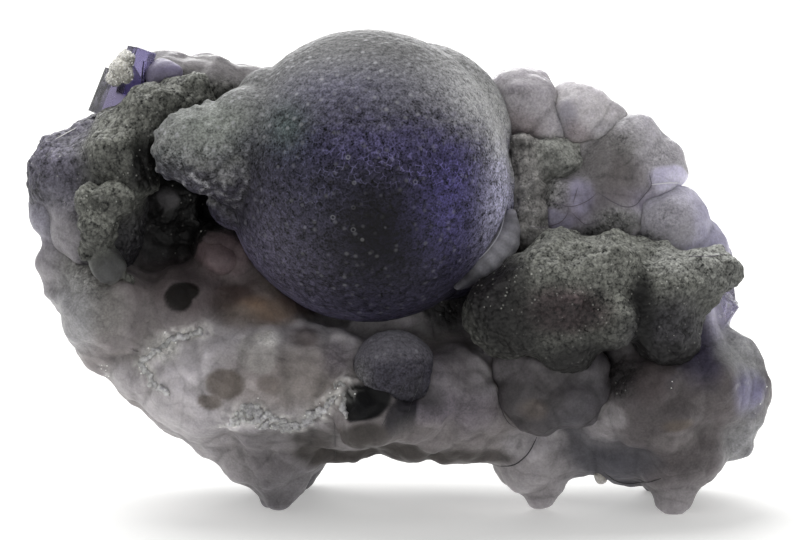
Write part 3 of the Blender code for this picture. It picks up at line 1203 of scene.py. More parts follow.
LEFT_LILAC = [
    (-33.8, 1.0, 29.2, 3.4),
]
LILAC_BUD = [
    (-23.7, 1.2, 43.1, 1.9),
]
PINK_LUMP = [
    (-17.8, -2.0, 25.2, 2.5),
    (-18.8, -1.8, 23.8, 2.2),
]
PALE_BUD = [
    (19.4, -1.8, 3.6, 0.8),
]
LEFT_GREY = [
    (-22.8, 4.0, 41.8, 3.8),
    (-18.8, 5.0, 40.5, 4.5),
    (-15.6, 5.5, 39.9, 4.0),
    (-33.4, 0.0, 24.8, 3.0),
    (-32.1, 0.0, 21.3, 3.3),
]
LEFT_PINK = [
    (-28.8, -2.0, 20.2, 5.4),
    (-17.4, -1.0, 25.4, 3.2),
    (-21.8, -3.0, 20.6, 4.2),
]
LEFT_GLASS = [
    (-22.4, 0.4, 30.8, 2.6),
]
RECESS_FLOOR = [
    (-14.0, -1.5, 20.0, 4.6),
]
SHELF_PALE = [
    (-19.6, -3.4, 13.0, 5.9),
    (-16.4, -3.8, 13.8, 6.1),
    (-13.2, -4.2, 12.9, 6.6),
    (-10.2, -4.4, 13.3, 6.2),
    (-7.4, -4.4, 12.8, 6.0),
]
SHELF_PINK = [
    (-25.0, -1.0, 14.9, 4.8),
    (-22.4, -2.2, 14.6, 5.2),
    (-21.1, -1.0, 11.6, 4.4),
    (-17.0, -2.0, 10.6, 4.9),
    (-17.6, -1.0, 8.8, 4.1),
    (-14.9, -1.0, 6.3, 4.1),
    (-28.6, -1.0, 16.6, 4.0),
]
LEFT_FOOT = [
    (-12.4, -0.8, 2.6, 2.6),
    (-12.4, -0.7, 3.9, 3.5),
    (-12.4, -0.6, 5.4, 4.6),
    (-12.6, -0.5, 7.0, 5.6),
    (-5.0, -1.0, 8.9, 4.2),
]
MIDDLE_PINK = [
    (-4.4, -4.0, 11.4, 5.0),
    (2.2, -4.4, 11.0, 4.9),
    (0.5, -2.4, 9.1, 4.4),
    (5.5, -2.0, 9.1, 4.8),
    (9.0, -2.0, 7.9, 3.6),
    (5.0, -4.0, 12.3, 5.0),
    (9.0, -3.0, 11.2, 4.4),
    (-3.4, -10.6, 10.6, 3.4),
    (-5.6, -8.4, 12.6, 3.4),
]
MIDDLE_VIOLET = [
    (3.6, -7.6, 13.0, 3.4),
    (6.4, -6.4, 12.2, 3.2),
    (1.2, -9.2, 10.4, 2.9),
]
MIDDLE_FOOT = [
    (12.6, -0.5, 6.0, 4.4),
    (13.6, -0.5, 3.8, 2.8),
    (13.9, -0.5, 1.8, 1.7),
]
LOW_DARK = [
    (12.4, -6.0, 12.6, 3.4),
    (13.4, -6.2, 11.0, 3.0),
    (11.2, -5.5, 14.6, 2.6),
    (14.2, -6.0, 14.6, 3.0),
]
BLOB_BLUE = [
    (16.4, -6.2, 12.0, 3.1),
    (18.0, -5.4, 12.8, 2.8),
    (17.6, -5.6, 15.0, 2.6),
]
LOW_BLUE = [
    (16.0, -3.5, 12.2, 3.8),
    (18.0, 0.0, 7.2, 4.2),
    (22.0, -1.0, 6.9, 4.5),
]
LOW_PALE = [
    (20.5, -4.0, 10.3, 3.2),
    (27.0, -3.0, 2.2, 2.1),
    (29.6, -2.0, 4.6, 2.0),
]
LOW_SMOKY = [
    (25.0, -4.0, 11.8, 5.8),
    (30.0, -3.0, 12.7, 4.6),
    (26.8, -1.0, 7.4, 6.0),
    (33.5, -1.0, 7.3, 1.8),
    (31.4, 0.0, 8.8, 4.3),
    (32.0, 0.0, 11.6, 5.0),
    (32.2, 1.0, 14.2, 3.8),
]
CRUST_LUMPS = [
    (14.0, -8.0, 21.8, 5.5),
    (19.0, -7.0, 22.7, 5.0),
    (10.0, -8.0, 20.6, 4.2),
    (20.3, -10.5, 19.9, 2.5),
    (16.0, -5.0, 25.2, 3.4),
    (20.5, -4.0, 25.1, 3.2),
    (16.0, -9.0, 18.4, 3.4),
    (25.5, -6.0, 21.5, 4.2),
    (29.0, -4.6, 23.5, 2.9),
    (31.2, -3.6, 24.3, 2.2),
    (25.0, -7.0, 18.7, 3.0),
    (27.0, -6.0, 18.0, 2.4),
    (24.0, -3.0, 24.2, 3.0),
]
DRUSE_LUMPS = [
    (14.4, 1.9, 34.0, 3.6),
    (12.6, 1.9, 31.6, 3.4),
    (17.0, 2.6, 33.6, 3.0),
]
STRIP_LUMPS = [
    (11.5, -0.6, 36.4, 1.4),
    (11.9, -1.4, 34.2, 1.6),
    (12.2, -2.4, 32.0, 1.7),
    (12.4, -3.2, 29.8, 1.7),
    (12.4, -3.8, 27.6, 1.7),
]
UPPER_GREY = [
    (11.8, 3.6, 39.75, 4.0),
    (13.8, 3.0, 37.8, 3.0),
]
UPPER_PALE = [
    (17.6, 3.6, 38.6, 3.6),
    (20.0, 3.6, 37.2, 3.2),
]
UPPER_HAZE = [
    (22.8, 3.0, 35.2, 3.9),
    (24.4, 3.0, 33.6, 3.9),
    (20.2, 2.2, 33.2, 3.8),
    (18.6, 2.6, 34.8, 2.8),
]
LAVENDER_LUMP = [
    (26.2, 1.6, 27.9, 4.4),
    (28.5, 2.2, 25.4, 3.7),
]
UPPER_LILAC = [
    (29.0, 3.4, 24.2, 3.5),
]
UPPER_CELLS = [
    (20.0, 2.0, 29.4, 5.2),
    (16.0, 0.0, 29.3, 4.0),
]
CRUST_KNOBS = (8, 1.0, 1.7, 0.5, 4)
BACK_KNOBS = (7, 1.6, 2.8, 0.9, 9)
COLLAR_LUMPS = [
    (10.6, -5.2, 29.9, 0.7),
    (10.5, -5.3, 29.1, 1.0),
    (10.3, -5.5, 28.3, 1.4),
    (9.9, -5.8, 27.4, 1.7),
    (9.3, -6.1, 26.5, 1.8),
    (8.5, -6.5, 25.7, 1.7),
    (7.6, -6.9, 24.9, 1.5),
    (6.8, -7.3, 24.2, 1.2),
    (6.0, -7.7, 23.7, 0.9),
    (5.4, -8.0, 23.3, 0.6),
]
CORNER_BLOCKS = [
    Block((-28.1, 1.4, 40.9), (3.4, 4.2, 4.6), (0.0, 23.0, 20.0)),
    Block((-27.2, 1.6, 42.6), (2.2, 3.4, 2.6), (0.0, -30.0, 14.0)),
]
CORNER_TOP_BLOCKS = [
    Block((-26.5, 1.9, 43.2), (2.1, 2.8, 4.9), (0.0, 20.0, 24.0)),
    Block((-25.6, 2.0, 42.6), (1.5, 2.4, 3.6), (0.0, 6.0, 30.0)),
]
EDGE_BLOCKS = [
    Block((29.7, 1.6, 22.2), (4.6, 5.4, 5.6), (0.0, -8.0, 22.0)),
    Block((30.2, 0.6, 20.0), (4.2, 4.6, 4.2), (8.0, 34.0, 8.0)),
]
CORNER_BREAK = [
    (-27.7, -0.7, 43.8, 1.1),
    (-27.2, -0.4, 44.7, 0.9),
    (-28.3, -0.7, 42.9, 0.8),
    (-27.2, -0.9, 43.2, 0.8),
]

# Stains, windows and bare spots of the smooth mass, with painted shade in its cavity, crevices, pits and
# undersides and painted light in its windows, from its left to its right
MASS_PATCHES = [
    Patch(-18.5, 43.0, 5.0, 3.0, Tone.HUMP, 0.9),
    Patch(-24.0, 41.0, 4.0, 3.0, Tone.OLIVE, 0.7),
    Patch(-27.0, 38.5, 5.0, 3.0, Tone.OLIVE, 0.9),
    Patch(-20.0, 40.5, 5.0, 2.2, Tone.OLIVE, 0.8),
    Patch(-31.0, 32.0, 4.0, 5.0, Tone.OLIVE_DARK, 0.8),
    Patch(-31.0, 24.0, 3.0, 3.0, Tone.OLIVE, 0.6),
    Patch(-29.5, 19.5, 2.6, 2.6, Tone.OLIVE, 0.35),
    Patch(-36.6, 27.5, 1.4, 3.5, Tone.LILAC, 0.5),
    Patch(-33.0, 19.0, 3.0, 4.0, Tone.PALE_EDGE, 0.7),
    Patch(13.0, 32.0, 3.5, 4.5, Tone.OLIVE, 0.8),
    Patch(13.5, 37.0, 3.0, 2.2, Tone.PINKISH, 0.6),
    Patch(20.5, 34.5, 4.0, 3.2, Tone.HAZE_GRAIN, 0.9),
    Patch(19.8, 34.2, 2.4, 2.0, Tone.SMOKY_AND_SHADE, 0.5),
    Patch(19.4, 31.0, 2.2, 1.6, Tone.SMOKY_AND_SHADE, 0.6),
    Patch(25.4, 35.0, 2.2, 2.4, Tone.HAZE, 0.9),
    Patch(24.6, 30.4, 2.2, 1.8, Tone.CELL_LIGHT, 0.8),
    Patch(21.5, 28.2, 3.0, 2.2, Tone.OLIVE_BRIGHT, 0.7),
    Patch(24.2, 26.9, 3.0, 1.6, Tone.GAP_GREY, 0.8),
    Patch(17.0, 26.8, 4.0, 1.6, Tone.OLIVE, 0.6),
    # Painted shade: the dark cavity between the left crust and the lobe.
    Patch(-20.5, 31.0, 5.5, 6.5, Tone.CAVITY_SHADE),
    Patch(-18.0, 26.0, 6.0, 3.0, Tone.CAVITY_SHADE, 0.9),
    Patch(-23.2, 30.8, 1.3, 1.2, Tone.DARK_GLASS, 0.8, 0.3),
    Patch(-20.0, 22.2, 6.5, 3.0, Tone.DUSKY, 0.9),
    Patch(-17.4, 25.2, 2.2, 2.4, Tone.DUSKY_PINK, 0.9, 0.3),
    Patch(-16.0, 20.4, 2.4, 1.6, Tone.DEEP_BROWN, 0.9),
    Patch(-13.0, 19.8, 2.6, 1.2, Tone.ORANGE, 0.9),
    Patch(-10.0, 21.0, 3.4, 1.6, Tone.DEEP_BROWN, 0.9),
    # Painted shade in the small pit, which is also sunk a little.
    Patch(-21.7, 21.3, 1.3, 1.3, Tone.PIT_SHADE, 1.0, 0.12, 0.15),
    Patch(-21.0, 21.9, 1.2, 0.7, Tone.PIT_SHADE, 1.0, 0.15),
    Patch(-13.0, 13.0, 5.5, 3.0, Tone.SHELF_BROWN, 0.5),
    Patch(-9.2, 13.8, 4.0, 3.2, Tone.WARM_GREY, 0.8),
    Patch(-21.2, 14.8, 3.8, 2.6, Tone.PALE_LILAC, 0.9),
    Patch(-2.6, 18.7, 5.0, 1.4, Tone.GAP_GREY, 0.9),
    # Painted shade in the crevice under the ball.
    Patch(4.6, 19.5, 2.6, 1.7, Tone.CREVICE_SHADE, 0.9),
    Patch(-9.6, 17.5, 1.6, 1.0, Tone.DEEP_BROWN, 0.7),
    Patch(-24.0, 19.3, 2.4, 1.3, Tone.SMOKY_AND_SHADE, 0.6),
    Patch(-15.4, 19.0, 2.0, 1.0, Tone.BROWN, 0.7),
    Patch(-23.3, 16.2, 1.8, 1.3, Tone.WHITE_CRUST, 0.6),
    # Painted shadow under the shelf's ridge.
    Patch(-6.9, 9.2, 1.5, 1.2, Tone.SMOKY_AND_SHADE, 0.8),
    Patch(-14.0, 15.9, 2.0, 2.1, Tone.PALE_SQUARE, 0.7, 0.15),
    Patch(-13.2, 17.2, 1.3, 0.7, Tone.WHITE_CRUST, 0.5, 0.3),
    Patch(-17.2, 12.9, 1.6, 1.4, Tone.SPOT_BROWN, 0.8, 0.2),
    Patch(-18.5, 11.2, 1.2, 0.7, Tone.SPOT_BROWN, 0.8, 0.2),
    Patch(-13.0, 12.8, 1.2, 0.9, Tone.BROWN, 0.6, 0.3),
    Patch(-13.0, 5.4, 3.4, 2.4, Tone.SMOKY_AND_SHADE, 0.45),
    Patch(-14.0, 7.2, 3.4, 1.3, Tone.FOOT_TOP, 0.8),
    # Painted shade on the underside of the arch between the feet.
    Patch(-8.8, 7.6, 2.6, 1.2, Tone.UNDERSIDE_SHADE, 0.9),
    Patch(-8.6, 6.4, 2.8, 1.4, Tone.UNDERSIDE_SHADE, 1.0),
    Patch(-7.4, 5.4, 2.8, 1.4, Tone.UNDERSIDE_SHADE, 1.0),
    Patch(-3.6, 7.6, 4.0, 1.2, Tone.UNDERSIDE_SHADE, 1.0),
    Patch(-3.4, 6.6, 4.2, 1.4, Tone.UNDERSIDE_SHADE, 1.0),
    Patch(-2.6, 5.6, 4.2, 1.4, Tone.UNDERSIDE_SHADE, 1.0),
    Patch(1.4, 7.0, 2.4, 1.4, Tone.UNDERSIDE_SHADE, 0.7),
    Patch(1.4, 5.6, 2.6, 1.2, Tone.UNDERSIDE_SHADE, 0.9),
    Patch(5.0, 5.2, 3.0, 0.9, Tone.UNDERSIDE_SHADE, 0.9),
    Patch(8.4, 5.0, 2.6, 0.8, Tone.UNDERSIDE_SHADE, 0.8),
    Patch(-27.0, 12.8, 2.5, 2.0, Tone.SLOPE, 0.9),
    Patch(-23.5, 9.5, 3.0, 2.2, Tone.SLOPE, 0.9),
    Patch(-20.0, 6.5, 3.0, 2.4, Tone.SLOPE, 0.9),
    Patch(-17.0, 4.0, 2.4, 2.0, Tone.SLOPE, 0.6),
    Patch(2.6, 12.4, 2.0, 2.6, Tone.DARK_GLASS, 0.8),
    Patch(0.2, 11.0, 1.1, 3.4, Tone.FOLD, 1.0, 0.2),
    Patch(-0.8, 9.0, 1.1, 1.8, Tone.FOLD, 0.9, 0.25),
    # Painted shade in the shallow disc, which is also sunk a little.
    Patch(-3.8, 11.0, 2.2, 2.1, Tone.DISC, 1.0, 0.1, 0.4),
    Patch(-2.8, 11.6, 1.8, 1.6, Tone.DISC, 1.0, 0.15),
    Patch(5.0, 14.4, 2.4, 2.4, Tone.DUSKY_VIOLET, 0.8),
    Patch(-6.4, 15.2, 1.6, 1.8, Tone.DUSKY_VIOLET, 0.6),
    Patch(2.0, 7.0, 4.0, 2.0, Tone.PINKISH, 0.6),
    # Painted light: the mass behind the edge crystal, pale as if lit through.
    Patch(32.8, 20.2, 3.2, 2.8, Tone.WINDOW, 1.0),
    Patch(31.4, 18.8, 1.8, 2.4, Tone.WINDOW, 0.8),
    Patch(7.0, 14.0, 4.5, 2.2, Tone.SHADED_GREY, 0.9),
    Patch(9.0, 14.0, 2.2, 2.4, Tone.GAP_GREY, 0.9),
    # Painted shade on the mass under the right crust.
    Patch(18.0, 13.8, 6.0, 2.0, Tone.CREVICE_SHADE, 0.8),
    Patch(12.0, 6.6, 2.4, 1.6, Tone.PALE_LILAC, 0.8),
    Patch(14.6, 6.8, 1.6, 1.2, Tone.PALE_LILAC, 0.8, 0.3),
    Patch(20.6, 9.6, 1.6, 1.3, Tone.PALE_FOOT, 0.8, 0.3),
    Patch(22.0, 5.0, 3.0, 2.0, Tone.BLUISH, 0.7),
    Patch(26.7, 8.6, 1.6, 0.7, Tone.BROWN, 1.0, 0.3),
    Patch(26.7, 7.2, 2.6, 0.9, Tone.PINKISH, 0.5, 0.3),
    Patch(24.2, 13.0, 1.8, 2.4, Tone.DUSKY, 0.6),
    Patch(29.0, 15.8, 2.3, 3.4, Tone.DEEP_VIOLET, 0.9),
    Patch(33.4, 15.4, 3.0, 2.8, Tone.PALE_EDGE, 0.9),
    Patch(34.2, 12.0, 2.3, 2.2, Tone.LAVENDER, 0.8, 0.5),
    Patch(34.5, 6.5, 3.2, 4.0, Tone.PALE_EDGE, 0.8),
    # Painted light: a pale window among the cells, as if lit through from behind.
    Patch(26.8, 33.2, 2.4, 1.2, Tone.WINDOW, 1.0, 0.2),
    Patch(27.8, 32.6, 1.6, 1.0, Tone.WINDOW, 1.0, 0.3),
    Patch(14.5, 28.7, 2.2, 1.1, Tone.CELL_WINDOW, 0.8, 0.25),
    Patch(17.5, 31.2, 1.3, 1.8, Tone.CELL_WINDOW, 0.8, 0.3),
    Patch(22.5, 32.5, 2.2, 2.2, Tone.DUSKY, 0.5),
    Patch(31.0, 27.0, 2.0, 3.5, Tone.LAVENDER, 0.6),
]
MASS_TRAILS = [
    Trail(((-25.8, 14.7), (-24.3, 15.7), (-22.6, 17.2), (-21.2, 17.9), (-19.0, 18.0)), 0.6,
          Tone.WHITE_CRUST, 0.9, 0.3, 0.1),
    Trail(((-25.6, 14.5), (-25.0, 13.8), (-24.4, 12.9)), 0.6, Tone.WHITE_CRUST, 0.7, 0.2),
    Trail(((-17.0, 8.8), (-16.1, 9.7), (-14.8, 10.1), (-13.6, 9.4), (-12.2, 9.0), (-10.8, 8.8), (-9.4, 9.3),
           (-8.3, 10.1), (-7.3, 11.2), (-6.1, 12.1), (-4.9, 12.8)), 0.9,
          Tone.WHITE_CRUST, 0.55, 0.25, 0.3),
    Trail(((32.2, 12.0), (33.9, 13.2), (34.9, 13.9), (35.9, 13.2), (35.9, 11.5), (34.7, 10.0)), 0.2,
          Tone.PALE_EDGE, 0.5, 0.3),
    Trail(((-29.6, 13.9), (-28.8, 12.8)), 0.5, Tone.WHITE_CRUST, 0.3, 1.0),
    Trail(((28.8, 1.0), (30.0, 1.8), (31.3, 2.8), (33.0, 4.6)), 0.3, Tone.WHITE_CRUST, 0.3, 0.7),
    Trail(((27.2, 15.2), (26.6, 14.2), (26.0, 12.6)), 0.5, Tone.OLIVE_DARK, 0.5, 0.7),
]
RIDGES = [
    Trail(((-25.8, 14.7), (-24.3, 15.7), (-22.6, 17.0), (-21.2, 17.6), (-19.4, 18.0)), 0.1, Tone.RIDGE),
    Trail(((-25.6, 14.5), (-25.0, 13.8), (-24.6, 12.9), (-23.8, 12.3), (-23.0, 12.0)), 0.1, Tone.RIDGE),
    Trail(((-16.6, 9.0), (-15.6, 9.9), (-14.6, 10.1), (-13.4, 9.4), (-12.0, 9.0), (-10.6, 8.8), (-9.4, 9.3),
           (-8.4, 10.1), (-7.6, 10.9), (-6.8, 11.8)), 0.22, Tone.RIDGE),
    Trail(((-15.0, 9.4), (-13.4, 8.8), (-11.8, 8.4), (-10.4, 8.6), (-9.2, 9.2)), 0.26, Tone.RIDGE),
    Trail(((-6.8, 12.6), (-5.9, 12.9), (-5.6, 12.0), (-5.7, 10.8), (-5.4, 9.8)), 0.12, Tone.RIDGE),
]
LUMP_PATCHES = [
    Patch(11.0, 37.6, 2.6, 2.0, Tone.PINK_GRAIN, 0.9),
    Patch(13.0, 35.8, 4.0, 1.4, Tone.OLIVE_PALE, 0.8),
    Patch(16.2, 38.6, 1.0, 2.0, Tone.LILAC, 0.8),
    Patch(20.8, 37.2, 2.6, 1.4, Tone.HAZE, 0.8),
    Patch(19.0, 34.8, 3.6, 2.2, Tone.HAZE_GRAIN, 1.0),
    Patch(17.2, 37.0, 1.6, 1.6, Tone.PINK_GRAIN, 0.8),
    Patch(26.0, 28.4, 3.4, 2.6, Tone.HAZE_GRAIN, 0.6),
    Patch(30.4, 28.0, 1.8, 3.5, Tone.LAVENDER, 0.5),
    Patch(24.0, 26.0, 1.6, 1.6, Tone.OLIVE_BRIGHT, 0.5),
    Patch(12.6, 10.0, 1.4, 1.0, Tone.BROWN, 0.6),
    Patch(11.0, 14.4, 2.4, 1.4, Tone.SHADED_GREY, 0.6),
]
CRUST_PATCHES = [
    Patch(-34.0, 34.0, 3.0, 3.0, Tone.VIOLET_CRUST, 0.8),
    Patch(-31.0, 38.0, 2.6, 1.6, Tone.VIOLET_CRUST, 0.6),
    # Painted shade: the left crust's side of the dark cavity.
    Patch(-23.8, 31.0, 2.4, 5.5, Tone.CAVITY_SHADE, 0.95, 0.4),
    Patch(-24.6, 34.0, 2.2, 2.6, Tone.CAVITY_SHADE, 0.95, 0.35),
    Patch(-24.4, 29.0, 2.6, 3.4, Tone.CAVITY_SHADE, 0.9, 0.4),
    Patch(-34.6, 30.6, 3.4, 1.8, Tone.LEFT_GLASSY, 0.5),
    # Painted light on the right crust's top, where the light from above falls.
    Patch(28.6, 24.8, 4.6, 1.8, Tone.OLIVE_BRIGHT, 0.8),
    Patch(31.8, 23.6, 2.8, 2.6, Tone.OLIVE_BRIGHT, 0.9),
    Patch(15.5, 19.8, 4.2, 2.4, Tone.REDDISH, 1.0, 0.4),
    # Painted shade in the crevices at the right crust's left end and foot.
    Patch(8.0, 22.4, 3.0, 4.6, Tone.CREVICE_SHADE, 1.0),
    Patch(10.6, 22.6, 2.2, 2.6, Tone.CREVICE_SHADE, 0.7),
    Patch(10.4, 17.5, 3.0, 3.0, Tone.CREVICE_SHADE, 0.8),
    Patch(26.0, 17.5, 5.0, 3.2, Tone.OLIVE_DARK, 0.9),
    # Painted shade in a deep gap of the right crust.
    Patch(23.2, 19.0, 1.0, 4.6, Tone.CAVITY_SHADE, 1.0),
    # Painted shade along the right crust's foot.
    Patch(18.0, 15.0, 5.5, 2.0, Tone.CREVICE_SHADE, 0.9),
    Patch(26.5, 15.4, 4.5, 1.8, Tone.CREVICE_SHADE, 0.9),
    Patch(-33.5, 26.5, 2.6, 3.5, Tone.GREY_LILAC, 0.8),
]
# Threads in the glint, rim light, ball edge glint and ridge spark tones are painted glints; the rest are
# seams, cracks and fold lines.
THREADS = [
    Thread(((10.1, 30.4), (9.9, 29.0), (9.4, 27.4), (8.4, 25.9), (7.4, 24.9)),
           0.06, Tone.RIM_LIGHT, "main_ball"),
    Thread(((11.4, 27.0), (10.5, 25.6), (9.1, 24.4)), 0.04, Tone.BALL_EDGE_GLINT, "main_ball"),
    Thread(((24.5, 32.3), (26.5, 32.5), (28.0, 32.4), (29.1, 32.2)), 0.07, Tone.GLINT),
    Thread(((14.1, 30.6), (15.0, 30.4), (16.6, 30.1), (18.2, 30.7), (19.1, 31.5)), 0.04, Tone.SEAM),
    Thread(((16.2, 30.2), (16.2, 29.5), (15.4, 28.5), (13.5, 28.0), (12.4, 28.1)), 0.04, Tone.SEAM),
    Thread(((16.6, 29.5), (17.2, 28.9), (18.1, 28.3), (19.5, 28.9)), 0.035, Tone.SEAM),
    Thread(((19.3, 31.4), (20.6, 30.6), (21.7, 30.1), (22.8, 30.2), (23.7, 31.1), (24.5, 32.2), (24.3, 33.3)),
           0.04, Tone.SEAM),
    Thread(((17.2, 32.0), (16.7, 30.4)), 0.05, Tone.SEAM),
    Thread(((27.6, 25.2), (30.2, 25.2), (32.8, 25.6)), 0.05, Tone.SEAM),
    Thread(((-6.6, 8.9), (-6.6, 6.4), (-6.7, 4.1)), 0.05, Tone.CRACK),
    Thread(((9.1, 12.4), (9.5, 10.7), (10.2, 9.0), (11.4, 8.1), (13.3, 7.5), (14.5, 8.3), (15.5, 8.2),
            (16.7, 8.1), (17.9, 8.6), (19.4, 10.0)), 0.035, Tone.CRACK),
    Thread(((13.3, 7.5), (12.6, 6.1), (11.9, 5.2), (10.7, 4.4), (8.7, 4.3)), 0.06, Tone.CRACK),
    Thread(((19.9, 3.7), (21.1, 2.8), (22.5, 2.5), (24.2, 2.8), (25.4, 3.2)), 0.07, Tone.CRACK),
    Thread(((-32.2, 38.0), (-33.2, 37.4), (-34.2, 36.8)), 0.07, Tone.RIDGE_SPARK),
    Thread(((-29.2, 39.4), (-30.0, 39.0), (-30.8, 38.6)), 0.06, Tone.GLINT),
    Thread(((0.5, 13.6), (-0.2, 12.0), (-1.2, 10.2), (-2.1, 8.5)), 0.03, Tone.FOLD_LINE),
    Thread(((2.0, 14.0), (1.5, 12.4), (0.7, 10.4), (0.3, 8.6)), 0.03, Tone.FOLD_LINE),
    Thread(((-29.6, 42.3), (-28.7, 43.0)), 0.09, Tone.GLINT, "corner_crystal"),
]


@dataclass
class VioletBalls:
    """The big ball with its shoulder and lobe, and the small ball in the hollow under it."""

    ball_voxel: float = 0.215
    small_voxel: float = 0.13
    # Where the frost and its painted sheen of top light begin and end.
    frost_sheen_low: float = 0.1
    frost_sheen_high: float = 1.0
    side_frost_sheen: float = 0.45

    def build(self) -> list[bpy.types.Object]:
        """Builds both balls and the collar.

        Returns:
            The surfaces that threads may lie on.
        """
        return [self.big_ball(), self.small_ball(), self.collar()]

    def big_ball(self) -> bpy.types.Object:
        """Models and paints the big ball."""
        lumps = [*BALL_LUMPS, *SHOULDER_LUMPS, *LOBE_LUMPS]
        body = Growth(
            "ball_druse",
            {Tone.BLUISH: lumps},
            {Tone.BLUISH: knobs_on(LOBE_LUMPS[2:], 26, 0.45, 0.85, 0.4, 7)},
            grains=[Grains(0.5, 0.04)],
            waves=[Grains(5.0, 0.14), Grains(1.2, 0.05)],
            warps=[],
            melt=2,
            trim=0.08,
            voxel=self.ball_voxel,
        )
        thing = body.build()
        self.paint_ball(thing)
        place_piece(thing, "main_ball", DruseFinish("violet_druse").material())
        return thing

    def collar(self) -> bpy.types.Object:
        """The smooth crescent of clear crystal that clasps the ball at its lower right."""
        body = Growth(
            "ball_collar",
            {Tone.COLLAR: COLLAR_LUMPS},
            patches=[
                Patch(10.2, 25.8, 2.2, 2.0, Tone.COLLAR_LIGHT, 0.9),
                # Painted shadow in the gap at the collar's lower end.
                Patch(5.8, 22.6, 2.0, 1.4, Tone.COLLAR_SHADE, 1.0),
            ],
            waves=[Grains(2.4, 0.12)],
            warps=[],
            melt=6,
            voxel=0.16,
            swell=0.8,
        )
        thing = body.build()
        place_piece(thing, "main_ball", MatrixFinish("collar_fluorite").material())
        return thing

    def paint_ball(self, thing: bpy.types.Object) -> None:
        """Paints the ball's depth of violet with painted shade at its front and a painted glow at its right,
        the frost and its painted sheen on what faces up, and spots of painted light and shade.
        """
        mesh = thing.data
        points = places_of(mesh)
        away = (points - BALL_CENTRE) / BALL_RADIUS
        up = facings_of(mesh)[:, 2]
        across = np.minimum(np.abs(away[:, 0]), 1.0)
        # Frost on what faces up and at the sides, with a painted sheen of the top light on it; none at the
        # dark front.
        frost = smooth_step(0.55 * up + 0.45 * away[:, 2] + self.side_frost_sheen * across ** 3,
                            self.frost_sheen_low, self.frost_sheen_high)
        frost *= 1 - 0.95 * near(points, (-3.0, -17.0, 28.5), (9.0, 8.0, 7.0))
        keep(mesh, "frost", frost)
        keep(mesh, "frosting", painted(points, (106, 106, 106), [
            ((-5.0, -11.0, 41.5), (8.0, 7.0, 4.0), (102, 100, 122)),
            ((-18.0, -8.0, 39.0), (7.0, 8.0, 4.0), (112, 116, 111)),
            ((-11.0, -13.0, 39.5), (2.8, 5.0, 2.6), (84, 93, 92)),
        ]))
        colours = painted(points, (36, 34, 46), [
            ((-3.0, -15.5, 38.0), (9.5, 6.0, 3.6), (66, 62, 92)),
            ((-7.0, -15.0, 33.0), (8.0, 8.0, 6.0), (44, 43, 58)),
            # Darkest at the front middle, partly painted shade where little light reaches.
            ((-3.0, -17.0, 29.0), (8.5, 8.0, 7.5), (8, 7, 14)),
            ((-2.0, -17.0, 29.5), (4.5, 8.0, 5.0), (4, 3, 9)),
            # A violet glow at the right, painted as light shining through from behind.
            ((4.6, -14.0, 32.5), (4.2, 8.0, 6.5), (50, 46, 82)),
            ((-13.0, -10.0, 26.5), (7.0, 9.0, 8.5), (56, 53, 66)),
            ((9.8, -8.0, 31.0), (3.4, 9.0, 8.0), (92, 91, 105)),
            ((-20.0, -8.0, 38.0), (6.5, 8.0, 4.2), (96, 101, 96)),
            ((-18.5, -9.0, 34.2), (6.5, 6.0, 2.8), (50, 48, 55)),
            ((-11.0, -13.0, 39.0), (3.0, 5.0, 3.0), (50, 58, 60)),
            ((-15.5, -7.0, 31.5), (4.2, 5.0, 4.0), (26, 25, 28)),
        ])
        # Painted shade in the creases between the lobe's knobs, and painted highlights on their rims.
        crease = np.empty(len(points))
        mesh.attributes["crease"].data.foreach_get("value", crease)
        knobby = near(points, (-19.0, -9.0, 35.4), (8.0, 8.0, 5.5))
        colours *= (1 - 0.5 * (1 - smooth_step(crease, 0.05, 0.45)) * knobby)[:, None]
        rim = smooth_step(crease, 0.15, 0.4) * (1 - smooth_step(crease, 0.4, 0.75))
        rim *= near(points, (-19.0, -9.0, 34.4), (8.0, 8.0, 3.4))
        for number in np.flatnonzero(rim > 0.02):
            rim[number] *= min(max(0.7 + 1.6 * noise.noise(Vector(points[number]) * 0.9), 0.0), 1.0)
        blend_in(colours, (150, 150, 152), rim * 0.5)
        crinkle = near(points, (-1.0, -15.5, 35.4), (11.0, 9.0, 1.8))
        crinkle += near(points, (-6.0, -15.5, 32.5), (9.0, 9.0, 7.0)) * 0.5
        keep(mesh, "crinkle", crinkle)
        # Spots of painted light, and of painted shade where the amount is below zero.
        light_and_shade_spots = [
            ((6.5, -9.0, 42.0), (6.0, 9.0, 5.5), 1.5),
            ((9.8, -6.0, 34.0), (3.9, 9.0, 9.0), 2.6),
            ((8.0, -6.0, 26.0), (3.0, 8.0, 5.0), 1.2),
            ((-6.0, 0.0, 47.2), (10.0, 14.0, 2.4), -0.6),
            ((-4.0, -6.0, 19.6), (8.0, 8.0, 1.6), 0.9),
            ((-19.0, -8.0, 38.8), (7.0, 8.0, 3.6), 0.35),
            ((-5.0, -16.0, 22.5), (9.0, 9.0, 4.0), -0.2),
            ((-16.0, -4.0, 25.5), (3.0, 6.0, 5.0), 1.4),
            ((-10.5, -5.0, 21.0), (6.0, 6.0, 3.0), 1.2),
        ]
        keep(mesh, "lift", sum(near(points, centre, reach) * amount for centre, reach, amount in light_and_shade_spots))
        mesh.attributes.remove(mesh.attributes["tone"])
        keep(mesh, "tone", colours)

    def small_ball(self) -> bpy.types.Object:
        """Models and paints the small ball."""
        body = Growth(
            "small_ball_druse",
            {Tone.BLUISH: [SMALL_BALL]},
            grains=[Grains(0.5, 0.05)],
            waves=[Grains(3.0, 0.2)],
            warps=[],
            melt=2,
            voxel=self.small_voxel,
            trim=0.2,
        )
        thing = body.build()
        mesh = thing.data
        points = places_of(mesh)
